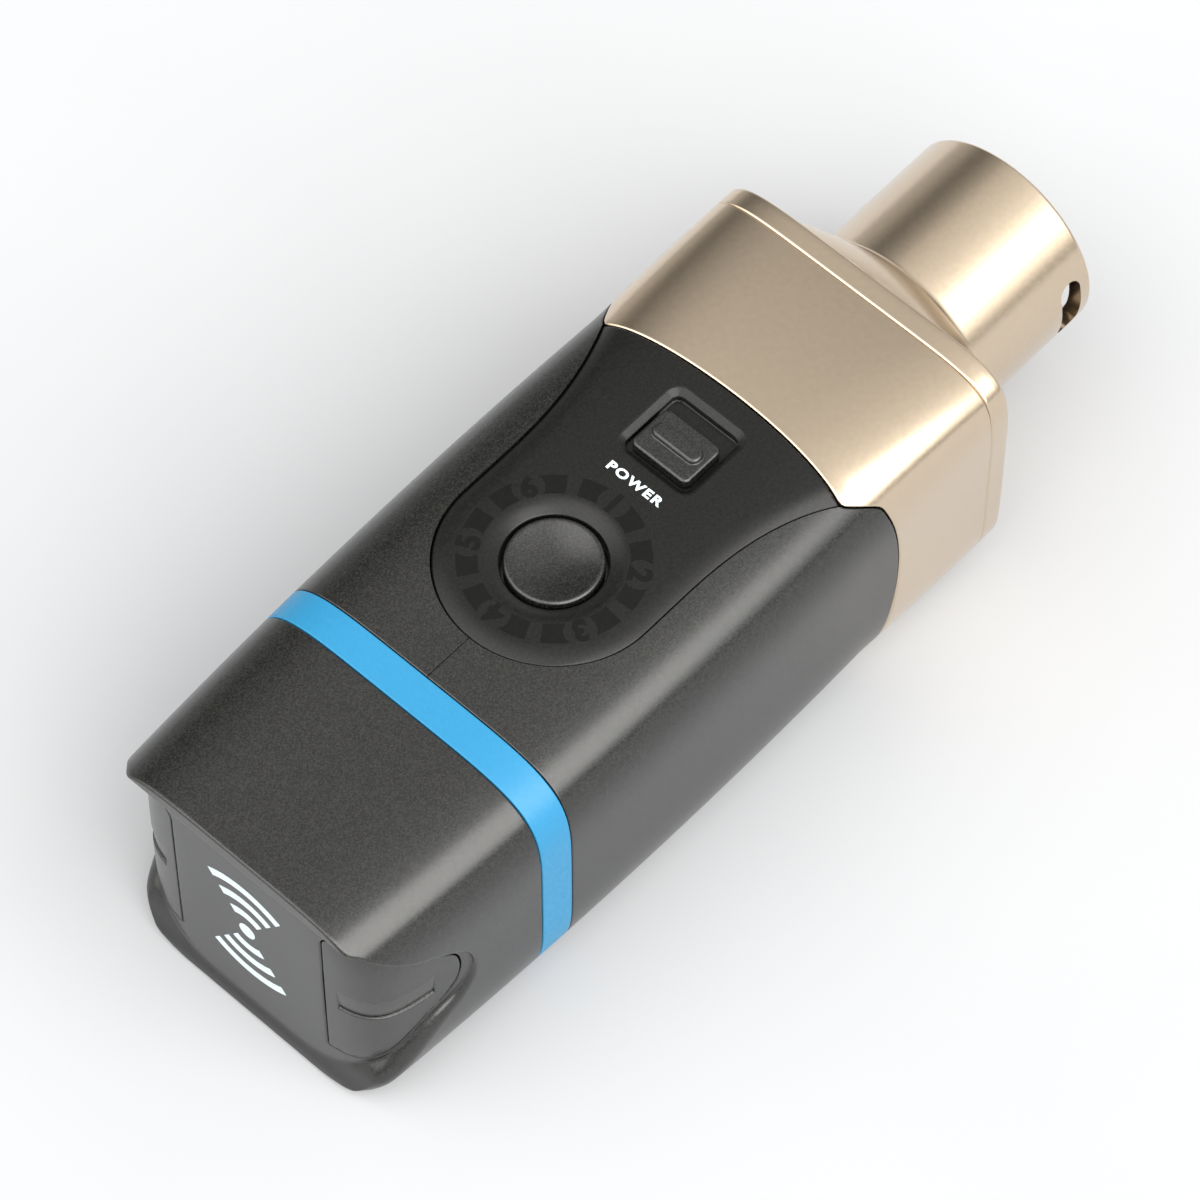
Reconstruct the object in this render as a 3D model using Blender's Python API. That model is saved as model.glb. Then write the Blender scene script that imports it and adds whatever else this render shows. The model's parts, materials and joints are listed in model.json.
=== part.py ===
"""Plug-on wireless audio transmitter with a three-pole male connector nose.

The object lies on its back with the control face up.  +X runs from the end cap
to the connector mouth, +Y to the object's left side, +Z up.  The origin is the
centre of the footprint, on the surface that the object rests on.

Lengths below are in millimetres.  Stations along the object are counted from
the front edge of the accent band, heights from the connector's axis.
"""

import math

import bmesh
import bpy

MM = 0.001
GAP = 0.3

# Overall stations
REAR_X = -21.8
MOUTH_X = 70.7
CENTRE_X = (REAR_X + MOUTH_X) / 2
REST_Z = -13.62

# Outer section of the housing: a superellipse
BODY_HALF_WIDTH = 15.87
BODY_HALF_HEIGHT = 13.75
SECTION_POWER = 4.8
FRONT_POWER = 6.4
WIDEST_X = 18.7
WIDTH_FALL = 0.00097
SLEEVE_START_X = 36.0
SLEEVE_END_X = 50.45
SLEEVE_DROP = 0.75
WALL = 1.6
RING_POINTS = 40
HALF_POINTS = 24

# Seam between the housing shells and the metal sleeve
SEAM_TOP_X = 35.95
SEAM_TOP_SAG = 0.0085
SEAM_SIDE_X = 39.3
SEAM_SIDE_SAG = 0.016
SEAM_TURN_FROM = 12.9
SEAM_TURN_TO = 14.7

# Accent band and end cap
BAND_WIDTH = 3.3
LIP_CORNER = 2.2
LIP_EDGE = 0.35
LIP_LEAN = 0.45
LIP_LEAN_LENGTH = 4.0
CORE_START_X = -10.5
CORE_REAR_X = -20.9
CORE_REAR_DEPTH = 1.25
CORE_FRONT_DEPTH = 0.35
CORE_HALF_HEIGHT = 13.2
END_FACE_HALF = 3.0
CORNER_POWER = 6.0
COVER_THICKNESS = 0.9
COVER_SEAM_Y = 8.2
CAVITY_REAR_X = -18.2

# Control panel
BUTTON_X = 14.75
PANEL_ROUND = 9.8
PANEL_NECK_X = 19.0
PANEL_FLARE = 3.1
PANEL_FLARE_LENGTH = 15.6
PANEL_THICKNESS = 1.7
PANEL_RISE = 0.15
PANEL_BLANK_X = 4.0
PANEL_BLANK_HALF = 13.4
DISH_RADIUS = 6.0
DISH_DEPTH = 0.55
BUTTON_HOLE = 4.4
BUTTON_RADIUS = 4.1
BUTTON_FLANGE = 5.1
BUTTON_TOP_Z = 13.6
SLOT_X = (26.45, 33.15)
SLOT_HALF = 3.45
SLOT_CHAMFER = 0.6
SLOT_FLOOR_Z = 12.9
KNOB_X = (26.9, 31.4)
KNOB_HALF = 3.05
KNOB_TOP_Z = 13.95
RIDGE_X = (28.55, 30.1)
RIDGE_HALF = 2.45
RIDGE_HEIGHT = 0.28
STEM_HALF = 0.8
SLIDER_TRAVEL = 1.3

# Connector nose
GROOVE_WIDTH = 1.0
CREASE_X = 52.6
SHOULDER_X = 56.3
BARREL_RADIUS = 9.5
BARREL_BORE = 8.2
INSERT_REAR_X = 50.6
INSERT_FACE_X = 57.6
PIN_CIRCLE = 4.0
PIN_RADIUS = 1.2
PIN_TIP_X = 67.6
WINDOW_X = (67.1, 69.3)
WINDOW_HALF = 3.3

# Inner works
BOARD_TOP_Z = 7.8
BOARD_THICKNESS = 1.0
BOARD_X = (-9.0, 45.0)
BOARD_HALF = 12.2
LED_CIRCLE = 6.95
GUIDE_INNER = 5.6
GUIDE_OUTER = 8.3
SCREW_SPOTS = ((-6.0, 8.7), (-6.0, -8.7), (42.3, 8.7), (42.3, -8.7))
SOCKET_Y = -9.6
SOCKET_HALF_WIDTH = 3.75
SOCKET_HALF_THICK = 1.25
SOCKET_X = (-19.4, -14.4)
COVER_HINGE_X = -20.6


# ---------------------------------------------------------------- materials

def material(name, color, roughness, metallic=0.0, alpha=1.0):
    found = bpy.data.materials.get(name)
    if found:
        return found
    made = bpy.data.materials.new(name)
    made.use_nodes = True
    shader = made.node_tree.nodes["Principled BSDF"]
    shader.inputs["Base Color"].default_value = (*color, 1.0)
    shader.inputs["Roughness"].default_value = roughness
    shader.inputs["Metallic"].default_value = metallic
    shader.inputs["Alpha"].default_value = alpha
    return made


def charcoal():
    return material("charcoal_plastic", (0.062, 0.062, 0.058), 0.42)


def black_plastic():
    return material("black_plastic", (0.03, 0.03, 0.03), 0.4)


def blue_plastic():
    return material("blue_plastic", (0.07, 0.44, 0.80), 0.45)


def gold_metal():
    return material("champagne_metal", (0.52, 0.43, 0.32), 0.35, 1.0)


def tin_metal():
    return material("tin_plate", (0.72, 0.72, 0.72), 0.3, 1.0)


def contact_metal():
    return material("contact_metal", (0.83, 0.78, 0.62), 0.25, 1.0)


def rubber():
    return material("black_rubber", (0.02, 0.02, 0.02), 0.7)


def board_green():
    return material("board_green", (0.02, 0.12, 0.05), 0.5)


def insulator():
    return material("insulator", (0.025, 0.025, 0.027), 0.5)


def smoked_clear():
    return material("smoked_clear", (0.35, 0.35, 0.33), 0.3)


def led_amber():
    return material("led_body", (0.85, 0.83, 0.74), 0.35)


def cell_wrap():
    return material("cell_wrap", (0.55, 0.57, 0.60), 0.35)


def lead(color_name, color):
    return material("lead_" + color_name, color, 0.5)


# ------------------------------------------------------------ mesh building

def place(point):
    """From stations and heights in millimetres to metres in the object's frame."""
    x, y, z = point
    return ((x - CENTRE_X) * MM, y * MM, (z - REST_Z) * MM)


def add_object(name, points, faces, look, pivot=None):
    """One object from a list of points; its origin goes to pivot, where the piece turns or slides."""
    mesh = bpy.data.meshes.new(name)
    mesh.from_pydata([place(p) for p in points], [], faces)
    bm = bmesh.new()
    bm.from_mesh(mesh)
    bmesh.ops.remove_doubles(bm, verts=bm.verts, dist=1e-6)
    bmesh.ops.recalc_face_normals(bm, faces=bm.faces)
    bm.to_mesh(mesh)
    bm.free()
    mesh.materials.append(look)
    made = bpy.data.objects.new(name, mesh)
    bpy.context.scene.collection.objects.link(made)
    mesh.shade_smooth()
    mesh.set_sharp_from_angle(angle=math.radians(32))
    if pivot:
        origin = place(pivot)
        for vertex in mesh.vertices:
            vertex.co = [c - o for c, o in zip(vertex.co, origin)]
        made.location = origin
    return made


def tube_skin(name, outer, inner, look, closed=True, pivot=None):
    """A wall between two grids of points with the same rows and columns."""
    rows = len(outer)
    columns = len(outer[0])
    points = [p for row in outer for p in row] + [p for row in inner for p in row]
    half = rows * columns
    steps = columns if closed else columns - 1
    faces = []
    for j in range(rows - 1):
        for i in range(steps):
            k = (i + 1) % columns
            a, b = j * columns + i, j * columns + k
            c, d = (j + 1) * columns + k, (j + 1) * columns + i
            faces.append((a, b, c, d))
            faces.append((half + d, half + c, half + b, half + a))
    last = (rows - 1) * columns
    for i in range(steps):
        k = (i + 1) % columns
        faces.append((i, half + i, half + k, k))
        faces.append((last + k, half + last + k, half + last + i, last + i))
    if not closed:
        for j in range(rows - 1):
            a, b = j * columns, (j + 1) * columns
            faces.append((a, b, half + b, half + a))
            a, b = a + columns - 1, b + columns - 1
            faces.append((b, a, half + a, half + b))
    return add_object(name, points, faces, look, pivot)


def loft(name, rings, look, pivot=None):
    """A solid through closed rings that have the same number of points, capped at both ends."""
    count = len(rings[0])
    points = [p for ring in rings for p in ring]
    faces = []
    for j in range(len(rings) - 1):
        for i in range(count):
            k = (i + 1) % count
            faces.append((j * count + i, j * count + k, (j + 1) * count + k, (j + 1) * count + i))
    faces.append(tuple(range(count))[::-1])
    faces.append(tuple(range((len(rings) - 1) * count, len(rings) * count)))
    return add_object(name, points, faces, look, pivot)


def upright(name, outline, z_from, z_to, look, pivot=None):
    """An outline of (x, y) points raised from one height to another."""
    rings = [[(x, y, z) for x, y in outline] for z in (z_from, z_to)]
    return loft(name, rings, look, pivot)


def crosswise(name, outline, y_from, y_to, look, pivot=None):
    """An outline of (x, z) points extended from one side to the other."""
    rings = [[(x, y, z) for x, z in outline] for y in (y_from, y_to)]
    return loft(name, rings, look, pivot)


def rounded_rectangle(low, high, radius, corner_steps=3):
    """Points of a rectangle with round corners, in the plane of the two given corners."""
    centres = ((high[0], high[1]), (low[0], high[1]), (low[0], low[1]), (high[0], low[1]))
    signs = ((-1, -1), (1, -1), (1, 1), (-1, 1))
    points = []
    for quarter, (corner, sign) in enumerate(zip(centres, signs)):
        for step in range(corner_steps + 1):
            turn = math.radians(90 * quarter + 90 * step / corner_steps)
            across = corner[0] + sign[0] * radius + radius * math.cos(turn)
            along = corner[1] + sign[1] * radius + radius * math.sin(turn)
            points.append((across, along))
    return points


def circle(centre, radius, count=24, start=0.0):
    turns = [start + 2 * math.pi * i / count for i in range(count)]
    return [(centre[0] + radius * math.cos(t), centre[1] + radius * math.sin(t)) for t in turns]


def disc_ring(x, radius, count=RING_POINTS, centre=(0.0, 0.0)):
    """A circle across the object's axis."""
    return [(x, centre[0] + radius * math.cos(t), centre[1] + radius * math.sin(t))
            for t in (2 * math.pi * i / count for i in range(count))]


def turned(name, profile, centre, look, count=24, pivot=None):
    """A solid turned about an upright axis from (radius, z) points, bottom to top."""
    rings = [[(x, y, z) for x, y in circle(centre, radius, count)] for radius, z in profile]
    return loft(name, rings, look, pivot)


def cutter(made):
    made.hide_render = True
    made.display_type = "WIRE"
    return made


def boolean(made, tool, operation):
    cutter(tool)
    step = made.modifiers.new(operation.lower() + "_" + tool.name, "BOOLEAN")
    step.operation = operation
    step.object = tool
    step.solver = "EXACT"


def curve_point(p0, p1, p2, p3, t):
    """A point between p1 and p2 on the smooth (Catmull-Rom) curve through all four."""
    return tuple(0.5 * (2 * b + (c - a) * t + (2 * a - 5 * b + 4 * c - d) * t * t
                        + (3 * b - a - 3 * c + d) * t ** 3)
                 for a, b, c, d in zip(p0, p1, p2, p3))


def smooth_outline(controls, steps):
    """A closed smooth curve through the control points."""
    count = len(controls)
    points = []
    for k in range(count):
        near = [controls[(k + d) % count] for d in (-1, 0, 1, 2)]
        points += [curve_point(*near, step / steps) for step in range(steps)]
    return points


def smooth_route(controls, steps):
    """An open smooth curve through the control points."""
    last = len(controls) - 1
    points = []
    for k in range(last):
        near = [controls[min(max(k + d, 0), last)] for d in (-1, 0, 1, 2)]
        points += [curve_point(*near, step / steps) for step in range(steps)]
    return points + [controls[last]]


# --------------------------------------------------------- housing's form

def clamp(value):
    return min(max(value, 0.0), 1.0)


def half_width(x):
    x = min(x, SLEEVE_START_X)
    return BODY_HALF_WIDTH - WIDTH_FALL * (x - WIDEST_X) ** 2


def half_height(x):
    along = clamp((x - SLEEVE_START_X) / (SLEEVE_END_X - SLEEVE_START_X))
    return BODY_HALF_HEIGHT - SLEEVE_DROP * along ** 2


def section_power(x):
    """The section grows squarer through the metal head."""
    along = clamp((x - SLEEVE_START_X) / (SLEEVE_END_X - SLEEVE_START_X))
    return SECTION_POWER + (FRONT_POWER - SECTION_POWER) * along


def section_point(turn, width, height, power=SECTION_POWER):
    c = math.cos(turn)
    s = math.sin(turn)
    y = width * math.copysign(abs(c) ** (2 / power), c)
    z = height * math.copysign(abs(s) ** (2 / power), s)
    return y, z


def section_ring(x, inset=0.0, flat=True, narrowing=0.0):
    """The housing's section at a station, pulled in by inset, with the flat back."""
    ring = []
    for i in range(RING_POINTS):
        y, z = section_point(2 * math.pi * i / RING_POINTS, half_width(x) - inset - narrowing,
                             half_height(x) - inset, section_power(x))
        ring.append((x, y, max(z, REST_Z + inset) if flat else z))
    return ring


def quarter_inset(radius, depth):
    """How far a round edge of that radius has drawn in at a depth in front of its end."""
    return radius - math.sqrt(radius ** 2 - max(radius - depth, 0.0) ** 2)


def lip_ring(depth):
    """The end cap's section near its rear edge: lips with round corners, the lower one set forward."""
    fade = 1.0 - clamp(depth / LIP_LEAN_LENGTH)
    ring = []
    for x, y, z in section_ring(REAR_X + depth, quarter_inset(LIP_EDGE, depth),
                                narrowing=quarter_inset(LIP_CORNER, depth)):
        drop = (BODY_HALF_HEIGHT - z) / (2 * BODY_HALF_HEIGHT)
        ring.append((x + LIP_LEAN * drop * fade, y, z))
    return ring


def seam_x(y, z):
    """Station of the seam between shells and sleeve at a point of the section."""
    top = SEAM_TOP_X - SEAM_TOP_SAG * y * y
    side = SEAM_SIDE_X - SEAM_SIDE_SAG * z * z
    turn = clamp((abs(y) - SEAM_TURN_FROM) / (SEAM_TURN_TO - SEAM_TURN_FROM))
    return top + (side - top) * turn * turn * (3 - 2 * turn)


def shell_grid(x_from, x_to, rows, turns, inset):
    """Grid of section points from one line to another, each a function of (y, z) on the section."""
    grid = []
    for j in range(rows):
        row = []
        for turn in turns:
            spot = section_point(turn, half_width(SLEEVE_START_X), half_height(SLEEVE_START_X))
            x = x_from(*spot) + (x_to(*spot) - x_from(*spot)) * j / (rows - 1)
            y, z = section_point(turn, half_width(x) - inset, half_height(x) - inset, section_power(x))
            row.append((x, y, max(z, REST_Z + inset)))
        grid.append(row)
    return grid


def core_half_width(x):
    along = clamp((x - CORE_REAR_X) / (CORE_START_X - CORE_REAR_X))
    depth = CORE_REAR_DEPTH + (CORE_FRONT_DEPTH - CORE_REAR_DEPTH) * along
    round_off = clamp((CORE_START_X - x) / (CORE_START_X - CORE_REAR_X))
    return (half_width(x) - depth) * (1 - round_off ** CORNER_POWER) ** (1 / CORNER_POWER)


def core_solid(name, inset, front_x):
    """The block whose rear is the recessed end face with its round corners, pulled in by inset."""
    rings = []
    for step in range(10):
        reach = math.sin(math.radians(10 * step)) ** (2 / CORNER_POWER)
        x = CORE_START_X + (CORE_REAR_X - CORE_START_X) * reach
        width = max(core_half_width(x), END_FACE_HALF)
        x = max(x, CORE_REAR_X + inset * (0.98 + 0.002 * step))
        rings.append(core_ring(x, width - inset, CORE_HALF_HEIGHT - inset))
    width = core_half_width(CORE_START_X)
    rings.insert(0, core_ring(front_x, width - inset, CORE_HALF_HEIGHT - inset))
    return loft(name, rings, charcoal())


def core_ring(x, width, height):
    return [(x, *section_point(2 * math.pi * i / RING_POINTS, width, height)) for i in range(RING_POINTS)]


# ------------------------------------------------------------------ housing

NOTCH = ((-24.5, 12.2), (-21.6, 11.9), (-20.3, 10.8), (-18.5, 8.8), (-16.6, 7.1), (-14.7, 5.7),
         (-12.9, 4.2), (-11.4, 2.4), (-10.8, 0.3), (-11.2, -1.7), (-12.6, -3.1), (-14.9, -4.3),
         (-17.0, -5.9), (-18.8, -7.9), (-20.3, -9.6), (-21.7, -11.9), (-24.5, -12.3))
COVER = ((-23.5, 10.4), (-20.8, 10.1), (-19.4, 8.9), (-17.6, 7.1), (-15.7, 5.6), (-13.8, 4.2),
         (-12.3, 2.6), (-11.9, 0.6), (-12.3, -1.1), (-13.5, -2.5), (-15.2, -3.6), (-17.0, -5.1),
         (-18.7, -7.0), (-20.6, -8.4), (-23.5, -8.7))


def grown(outline, amount):
    """An outline of (x, z) points pushed out from its middle height and front by amount."""
    centre_x = sum(x for x, _ in outline) / len(outline)
    centre_z = sum(z for _, z in outline) / len(outline)
    pushed = []
    for x, z in outline:
        length = math.hypot(x - centre_x, z - centre_z)
        pushed.append((x + amount * (x - centre_x) / length, z + amount * (z - centre_z) / length))
    return pushed


def cover_block(name, side, outline, seam_y, behind):
    """Everything of one side cover's outline that lies outside the inner face at depth behind."""
    y_range = (seam_y, 20.0) if side > 0 else (-20.0, -seam_y)
    block = crosswise(name, outline, *y_range, charcoal())
    boolean(block, core_solid(name + "_back", behind, -4.0), "DIFFERENCE")
    return block


def socket_outline(offset):
    """The charging socket's outline across the object's axis: it stands upright beside the seam."""
    return rounded_rectangle((SOCKET_Y - SOCKET_HALF_THICK - offset, -SOCKET_HALF_WIDTH - offset),
                             (SOCKET_Y + SOCKET_HALF_THICK + offset, SOCKET_HALF_WIDTH + offset), 0.5, 2)


def end_cap():
    rings = [lip_ring(depth) for depth in (0.0, 0.12, 0.35, 0.8, 1.4, 2.2)]
    rings += [section_ring(x) for x in (-17.0, -12.0, -7.5, -BAND_WIDTH - GAP / 2)]
    shell = loft("end_cap", rings, charcoal())
    boolean(shell, crosswise("end_notch", smooth_outline(NOTCH, 2), -20, 20, charcoal()), "DIFFERENCE")
    boolean(shell, core_solid("end_core", 0.0, -8.0), "UNION")
    cavity = loft("end_cavity", [section_ring(x, inset) for x, inset in
                                 ((CAVITY_REAR_X, 3.35), (-15.0, 3.1), (-11.3, 2.8),
                                  (-9.6, WALL), (0.0, WALL))], charcoal())
    boolean(shell, cavity, "DIFFERENCE")
    for side, word in ((1, "left"), (-1, "right")):
        pocket = cover_block("pocket_" + word, side, grown(COVER, GAP), COVER_SEAM_Y - GAP,
                             COVER_THICKNESS + GAP)
        boolean(shell, pocket, "DIFFERENCE")
    mouth = socket_outline(GAP)
    mouth_hole = loft("socket_mouth", [[(x, y, z) for y, z in mouth] for x in (-25.0, -17.0)], charcoal())
    boolean(shell, mouth_hole, "DIFFERENCE")
    return shell


def port_cover(word, side):
    """A door that wraps one rear corner; its hinge runs up along the seam on the end face."""
    y_range = (COVER_SEAM_Y, 20.0) if side > 0 else (-20.0, -COVER_SEAM_Y)
    pivot = (COVER_HINGE_X, side * (COVER_SEAM_Y + 0.3), 0.0)
    door = crosswise("port_cover_" + word, COVER, *y_range, charcoal(), pivot)
    boolean(door, core_solid("door_face_" + word, 0.0, -4.0), "INTERSECT")
    boolean(door, core_solid("door_back_" + word, COVER_THICKNESS, -4.0), "DIFFERENCE")
    grip = rounded_rectangle((-22.5, -1.0), (-14.5, 1.6), 0.3, 2)
    y_range = (9.5, 20.0) if side > 0 else (-20.0, -9.5)
    dish = crosswise("door_grip_" + word, grip, *y_range, charcoal())
    boolean(dish, core_solid("grip_floor_" + word, 0.35, -4.0), "DIFFERENCE")
    boolean(door, dish, "DIFFERENCE")
    return door


def accent_band():
    x0 = -BAND_WIDTH + GAP / 2
    x1 = -GAP / 2
    outer = [section_ring(x) for x in (x0, x1)]
    inner = [section_ring(x, WALL) for x in (x0, x1)]
    return tube_skin("accent_band", outer, inner, blue_plastic())


def panel_half_width(x):
    if x <= BUTTON_X:
        return math.sqrt(max(PANEL_ROUND ** 2 - (BUTTON_X - x) ** 2, 0.0))
    along = max(x - PANEL_NECK_X, 0.0) / PANEL_FLARE_LENGTH
    return PANEL_ROUND + PANEL_FLARE * along ** 2.5


def panel_outline(offset, front_x):
    """The control panel's outline: a round end, a straight neck and a flare to the seam."""
    side = [(BUTTON_X - (PANEL_ROUND + offset) * math.cos(t), (PANEL_ROUND + offset) * math.sin(t))
            for t in (math.radians(90 * k / 8) for k in range(9))]
    stations = [PANEL_NECK_X + (PANEL_FLARE_LENGTH - 0.4) * k / 5 for k in range(6)]
    side += [(x, panel_half_width(x) + offset) for x in stations]
    side.append((front_x, side[-1][1] + 0.25))
    return side + [(x, -y) for x, y in reversed(side[1:])]


def body_shell(word, side):
    """One half of the housing, split along the middle of the top and the back."""
    turns = [math.radians(-90 + 180 * i / HALF_POINTS) for i in range(HALF_POINTS + 1)]
    grids = []
    for inset in (0.0, WALL):
        grid = shell_grid(lambda y, z: GAP / 2, lambda y, z: seam_x(y, z) - GAP / 2, 7, turns, inset)
        grids.append([[(x, side * max(y, GAP / 2), z) for x, y, z in row] for row in grid])
    shell = tube_skin("body_shell_" + word, *grids, charcoal(), closed=False)
    opening = upright("panel_opening_" + word, panel_outline(GAP, 44.0), 6.0, 20.0, charcoal())
    boolean(shell, opening, "DIFFERENCE")
    return shell


def crown_z(x, y):
    """Height of the housing's top at a station."""
    return half_height(x) * (1 - (abs(y) / half_width(x)) ** SECTION_POWER) ** (1 / SECTION_POWER)


def control_panel():
    """The black panel: a piece of the housing's crowned top, with openings for the two controls."""
    grids = []
    for rise in (PANEL_RISE, -PANEL_THICKNESS):
        grid = []
        for j in range(7):
            row = []
            for i in range(13):
                y = PANEL_BLANK_HALF * (i / 6 - 1)
                x = PANEL_BLANK_X + (SEAM_TOP_X - SEAM_TOP_SAG * y * y - GAP / 2 - PANEL_BLANK_X) * j / 6
                row.append((x, y, crown_z(x, y) + rise))
            grid.append(row)
        grids.append(grid)
    panel = tube_skin("control_panel", *grids, black_plastic(), closed=False)
    boolean(panel, upright("panel_edge", panel_outline(0.0, 44.0), 4.0, 20.0, black_plastic()), "INTERSECT")
    top = BODY_HALF_HEIGHT + PANEL_RISE
    dish = turned("panel_dish", ((BUTTON_HOLE - 0.3, top - DISH_DEPTH),
                                 (BUTTON_HOLE + 0.7, top - 0.6 * DISH_DEPTH),
                                 (DISH_RADIUS, top), (DISH_RADIUS + 0.4, 16.0)),
                  (BUTTON_X, 0.0), black_plastic(), 32)
    boolean(panel, dish, "DIFFERENCE")
    hole = turned("button_hole", ((BUTTON_HOLE, 9.0), (BUTTON_HOLE, 17.0)), (BUTTON_X, 0.0),
                  black_plastic(), 32)
    boolean(panel, hole, "DIFFERENCE")
    boolean(panel, slider_pocket(top), "DIFFERENCE")
    stem_slot = rounded_rectangle((stem_x() - STEM_HALF - GAP, -STEM_HALF - GAP),
                                  (stem_x() + SLIDER_TRAVEL + STEM_HALF + GAP, STEM_HALF + GAP), 0.3, 1)
    boolean(panel, upright("stem_slot", stem_slot, 9.0, 15.0, black_plastic()), "DIFFERENCE")
    return panel


def slot_outline(offset):
    return rounded_rectangle((SLOT_X[0] - offset, -SLOT_HALF - offset),
                             (SLOT_X[1] + offset, SLOT_HALF + offset), 0.7 + offset)


def slider_pocket(top):
    """The pocket that the slider moves in: a chamfered rim over upright walls."""
    rim = SLOT_CHAMFER + 1.0
    rings = [[(x, y, z) for x, y in slot_outline(offset)] for offset, z in
             ((0.0, SLOT_FLOOR_Z), (0.0, top - 0.45), (rim, top - 0.45 + 0.75 * rim))]
    return loft("slider_pocket", rings, black_plastic())


def stem_x():
    return (KNOB_X[0] + KNOB_X[1]) / 2 - 0.1


def head_sleeve():
    turns = [2 * math.pi * i / RING_POINTS for i in range(RING_POINTS)]
    grids = [shell_grid(lambda y, z: seam_x(y, z) + GAP / 2, lambda y, z: SLEEVE_END_X - GAP, 6, turns, inset)
             for inset in (0.0, WALL)]
    return tube_skin("head_sleeve", *grids, gold_metal())


def blend_ring(x, inset, radius, share):
    """A ring part way between the housing's section and a circle."""
    ring = []
    for i in range(RING_POINTS):
        turn = 2 * math.pi * i / RING_POINTS
        y, z = section_point(turn, half_width(x) - inset, half_height(x) - inset, section_power(x))
        y += (radius * math.cos(turn) - y) * share
        z += (radius * math.sin(turn) - z) * share
        ring.append((x, y, z))
    return ring


def front_cap():
    """Front cap with the spigot that enters the sleeve, the domed shoulder and the connector barrel."""
    front = SLEEVE_END_X + GROOVE_WIDTH - 0.3
    outer = [blend_ring(45.8, WALL + GAP, 0, 0), blend_ring(front - 0.05, WALL + GAP, 0, 0),
             blend_ring(front, 0.15, 0, 0), blend_ring(CREASE_X - 0.3, 0.0, 0, 0),
             blend_ring(CREASE_X + 0.2, 0.5, 11.0, 0.02), blend_ring(54.2, 0.5, 11.0, 0.45),
             blend_ring(55.5, 0.5, 10.6, 0.8), blend_ring(SHOULDER_X, 0.5, 10.0, 1.0),
             blend_ring(SHOULDER_X + 0.9, 0.5, BARREL_RADIUS, 1.0),
             blend_ring(MOUTH_X - 0.35, 0.5, BARREL_RADIUS, 1.0),
             blend_ring(MOUTH_X, 0.5, BARREL_RADIUS - 0.3, 1.0)]
    inner = []
    for ring in outer:
        x = ring[0][0]
        if x < front - 0.02:
            inner.append(blend_ring(x, 2 * WALL + GAP, 0, 0))
        else:
            inner.append(blend_ring(x, 0.5, BARREL_BORE, 1.0))
    cap = tube_skin("front_cap", outer, inner, gold_metal())
    window = rounded_rectangle((WINDOW_X[0], -WINDOW_HALF), (WINDOW_X[1], WINDOW_HALF), 0.5)
    boolean(cap, crosswise("latch_window", window, -12.0, -5.0, gold_metal()), "DIFFERENCE")
    return cap


def cap_gasket():
    x0 = SLEEVE_END_X
    x1 = SLEEVE_END_X + GROOVE_WIDTH - 2 * 0.3
    outer = [section_ring(x, 0.35, flat=False) for x in (x0, x1)]
    inner = [section_ring(x, WALL, flat=False) for x in (x0, x1)]
    return tube_skin("cap_gasket", outer, inner, rubber())


# --------------------------------------------------------------- connector

def pin_spots():
    return [(PIN_CIRCLE * math.cos(t), PIN_CIRCLE * math.sin(t))
            for t in (math.radians(a) for a in (150, 30, 270))]


def xlr_insert():
    disc = loft("connector_insert", [disc_ring(x, BARREL_BORE - GAP, 32) for x in
                                     (INSERT_REAR_X, INSERT_FACE_X)], insulator())
    for number, spot in enumerate(pin_spots(), 1):
        bore = [disc_ring(x, PIN_RADIUS + GAP, 12, spot) for x in (INSERT_REAR_X - 3, INSERT_FACE_X + 3)]
        boolean(disc, loft(f"pin_bore_{number}", bore, insulator()), "DIFFERENCE")
    return disc


def contact_pins():
    for number, spot in enumerate(pin_spots(), 1):
        rings = [disc_ring(x, r, 12, spot) for x, r in
                 ((46.6, 0.9), (INSERT_REAR_X - 0.6, 0.9), (INSERT_REAR_X - 0.5, PIN_RADIUS),
                  (PIN_TIP_X - 1.0, PIN_RADIUS), (PIN_TIP_X - 0.3, 0.85), (PIN_TIP_X, 0.35))]
        loft(f"contact_pin_{number}", rings, contact_metal())


# ---------------------------------------------------------------- controls

def channel_button():
    profile = ((1.3, 11.0), (1.3, 11.35), (BUTTON_FLANGE, 11.4), (BUTTON_FLANGE, 11.7),
               (BUTTON_RADIUS, 11.75), (BUTTON_RADIUS, BUTTON_TOP_Z - 0.25),
               (BUTTON_RADIUS - 0.3, BUTTON_TOP_Z), (BUTTON_RADIUS - 1.4, BUTTON_TOP_Z - 0.3),
               (1.2, BUTTON_TOP_Z - 0.5))
    return turned("channel_button", profile, (BUTTON_X, 0.0), charcoal(), 32,
                  (BUTTON_X, 0.0, BUTTON_TOP_Z))


def tact_switch():
    half = 2.3
    body = rounded_rectangle((BUTTON_X - half, -half), (BUTTON_X + half, half), 0.3, 1)
    upright("tact_switch_body", body, BOARD_TOP_Z + GAP, 9.4, black_plastic())
    turned("tact_switch_plunger", ((1.0, 10.0 + GAP / 2), (1.0, 10.7)), (BUTTON_X, 0.0), tin_metal(), 16,
           (BUTTON_X, 0.0, 10.7))


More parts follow.
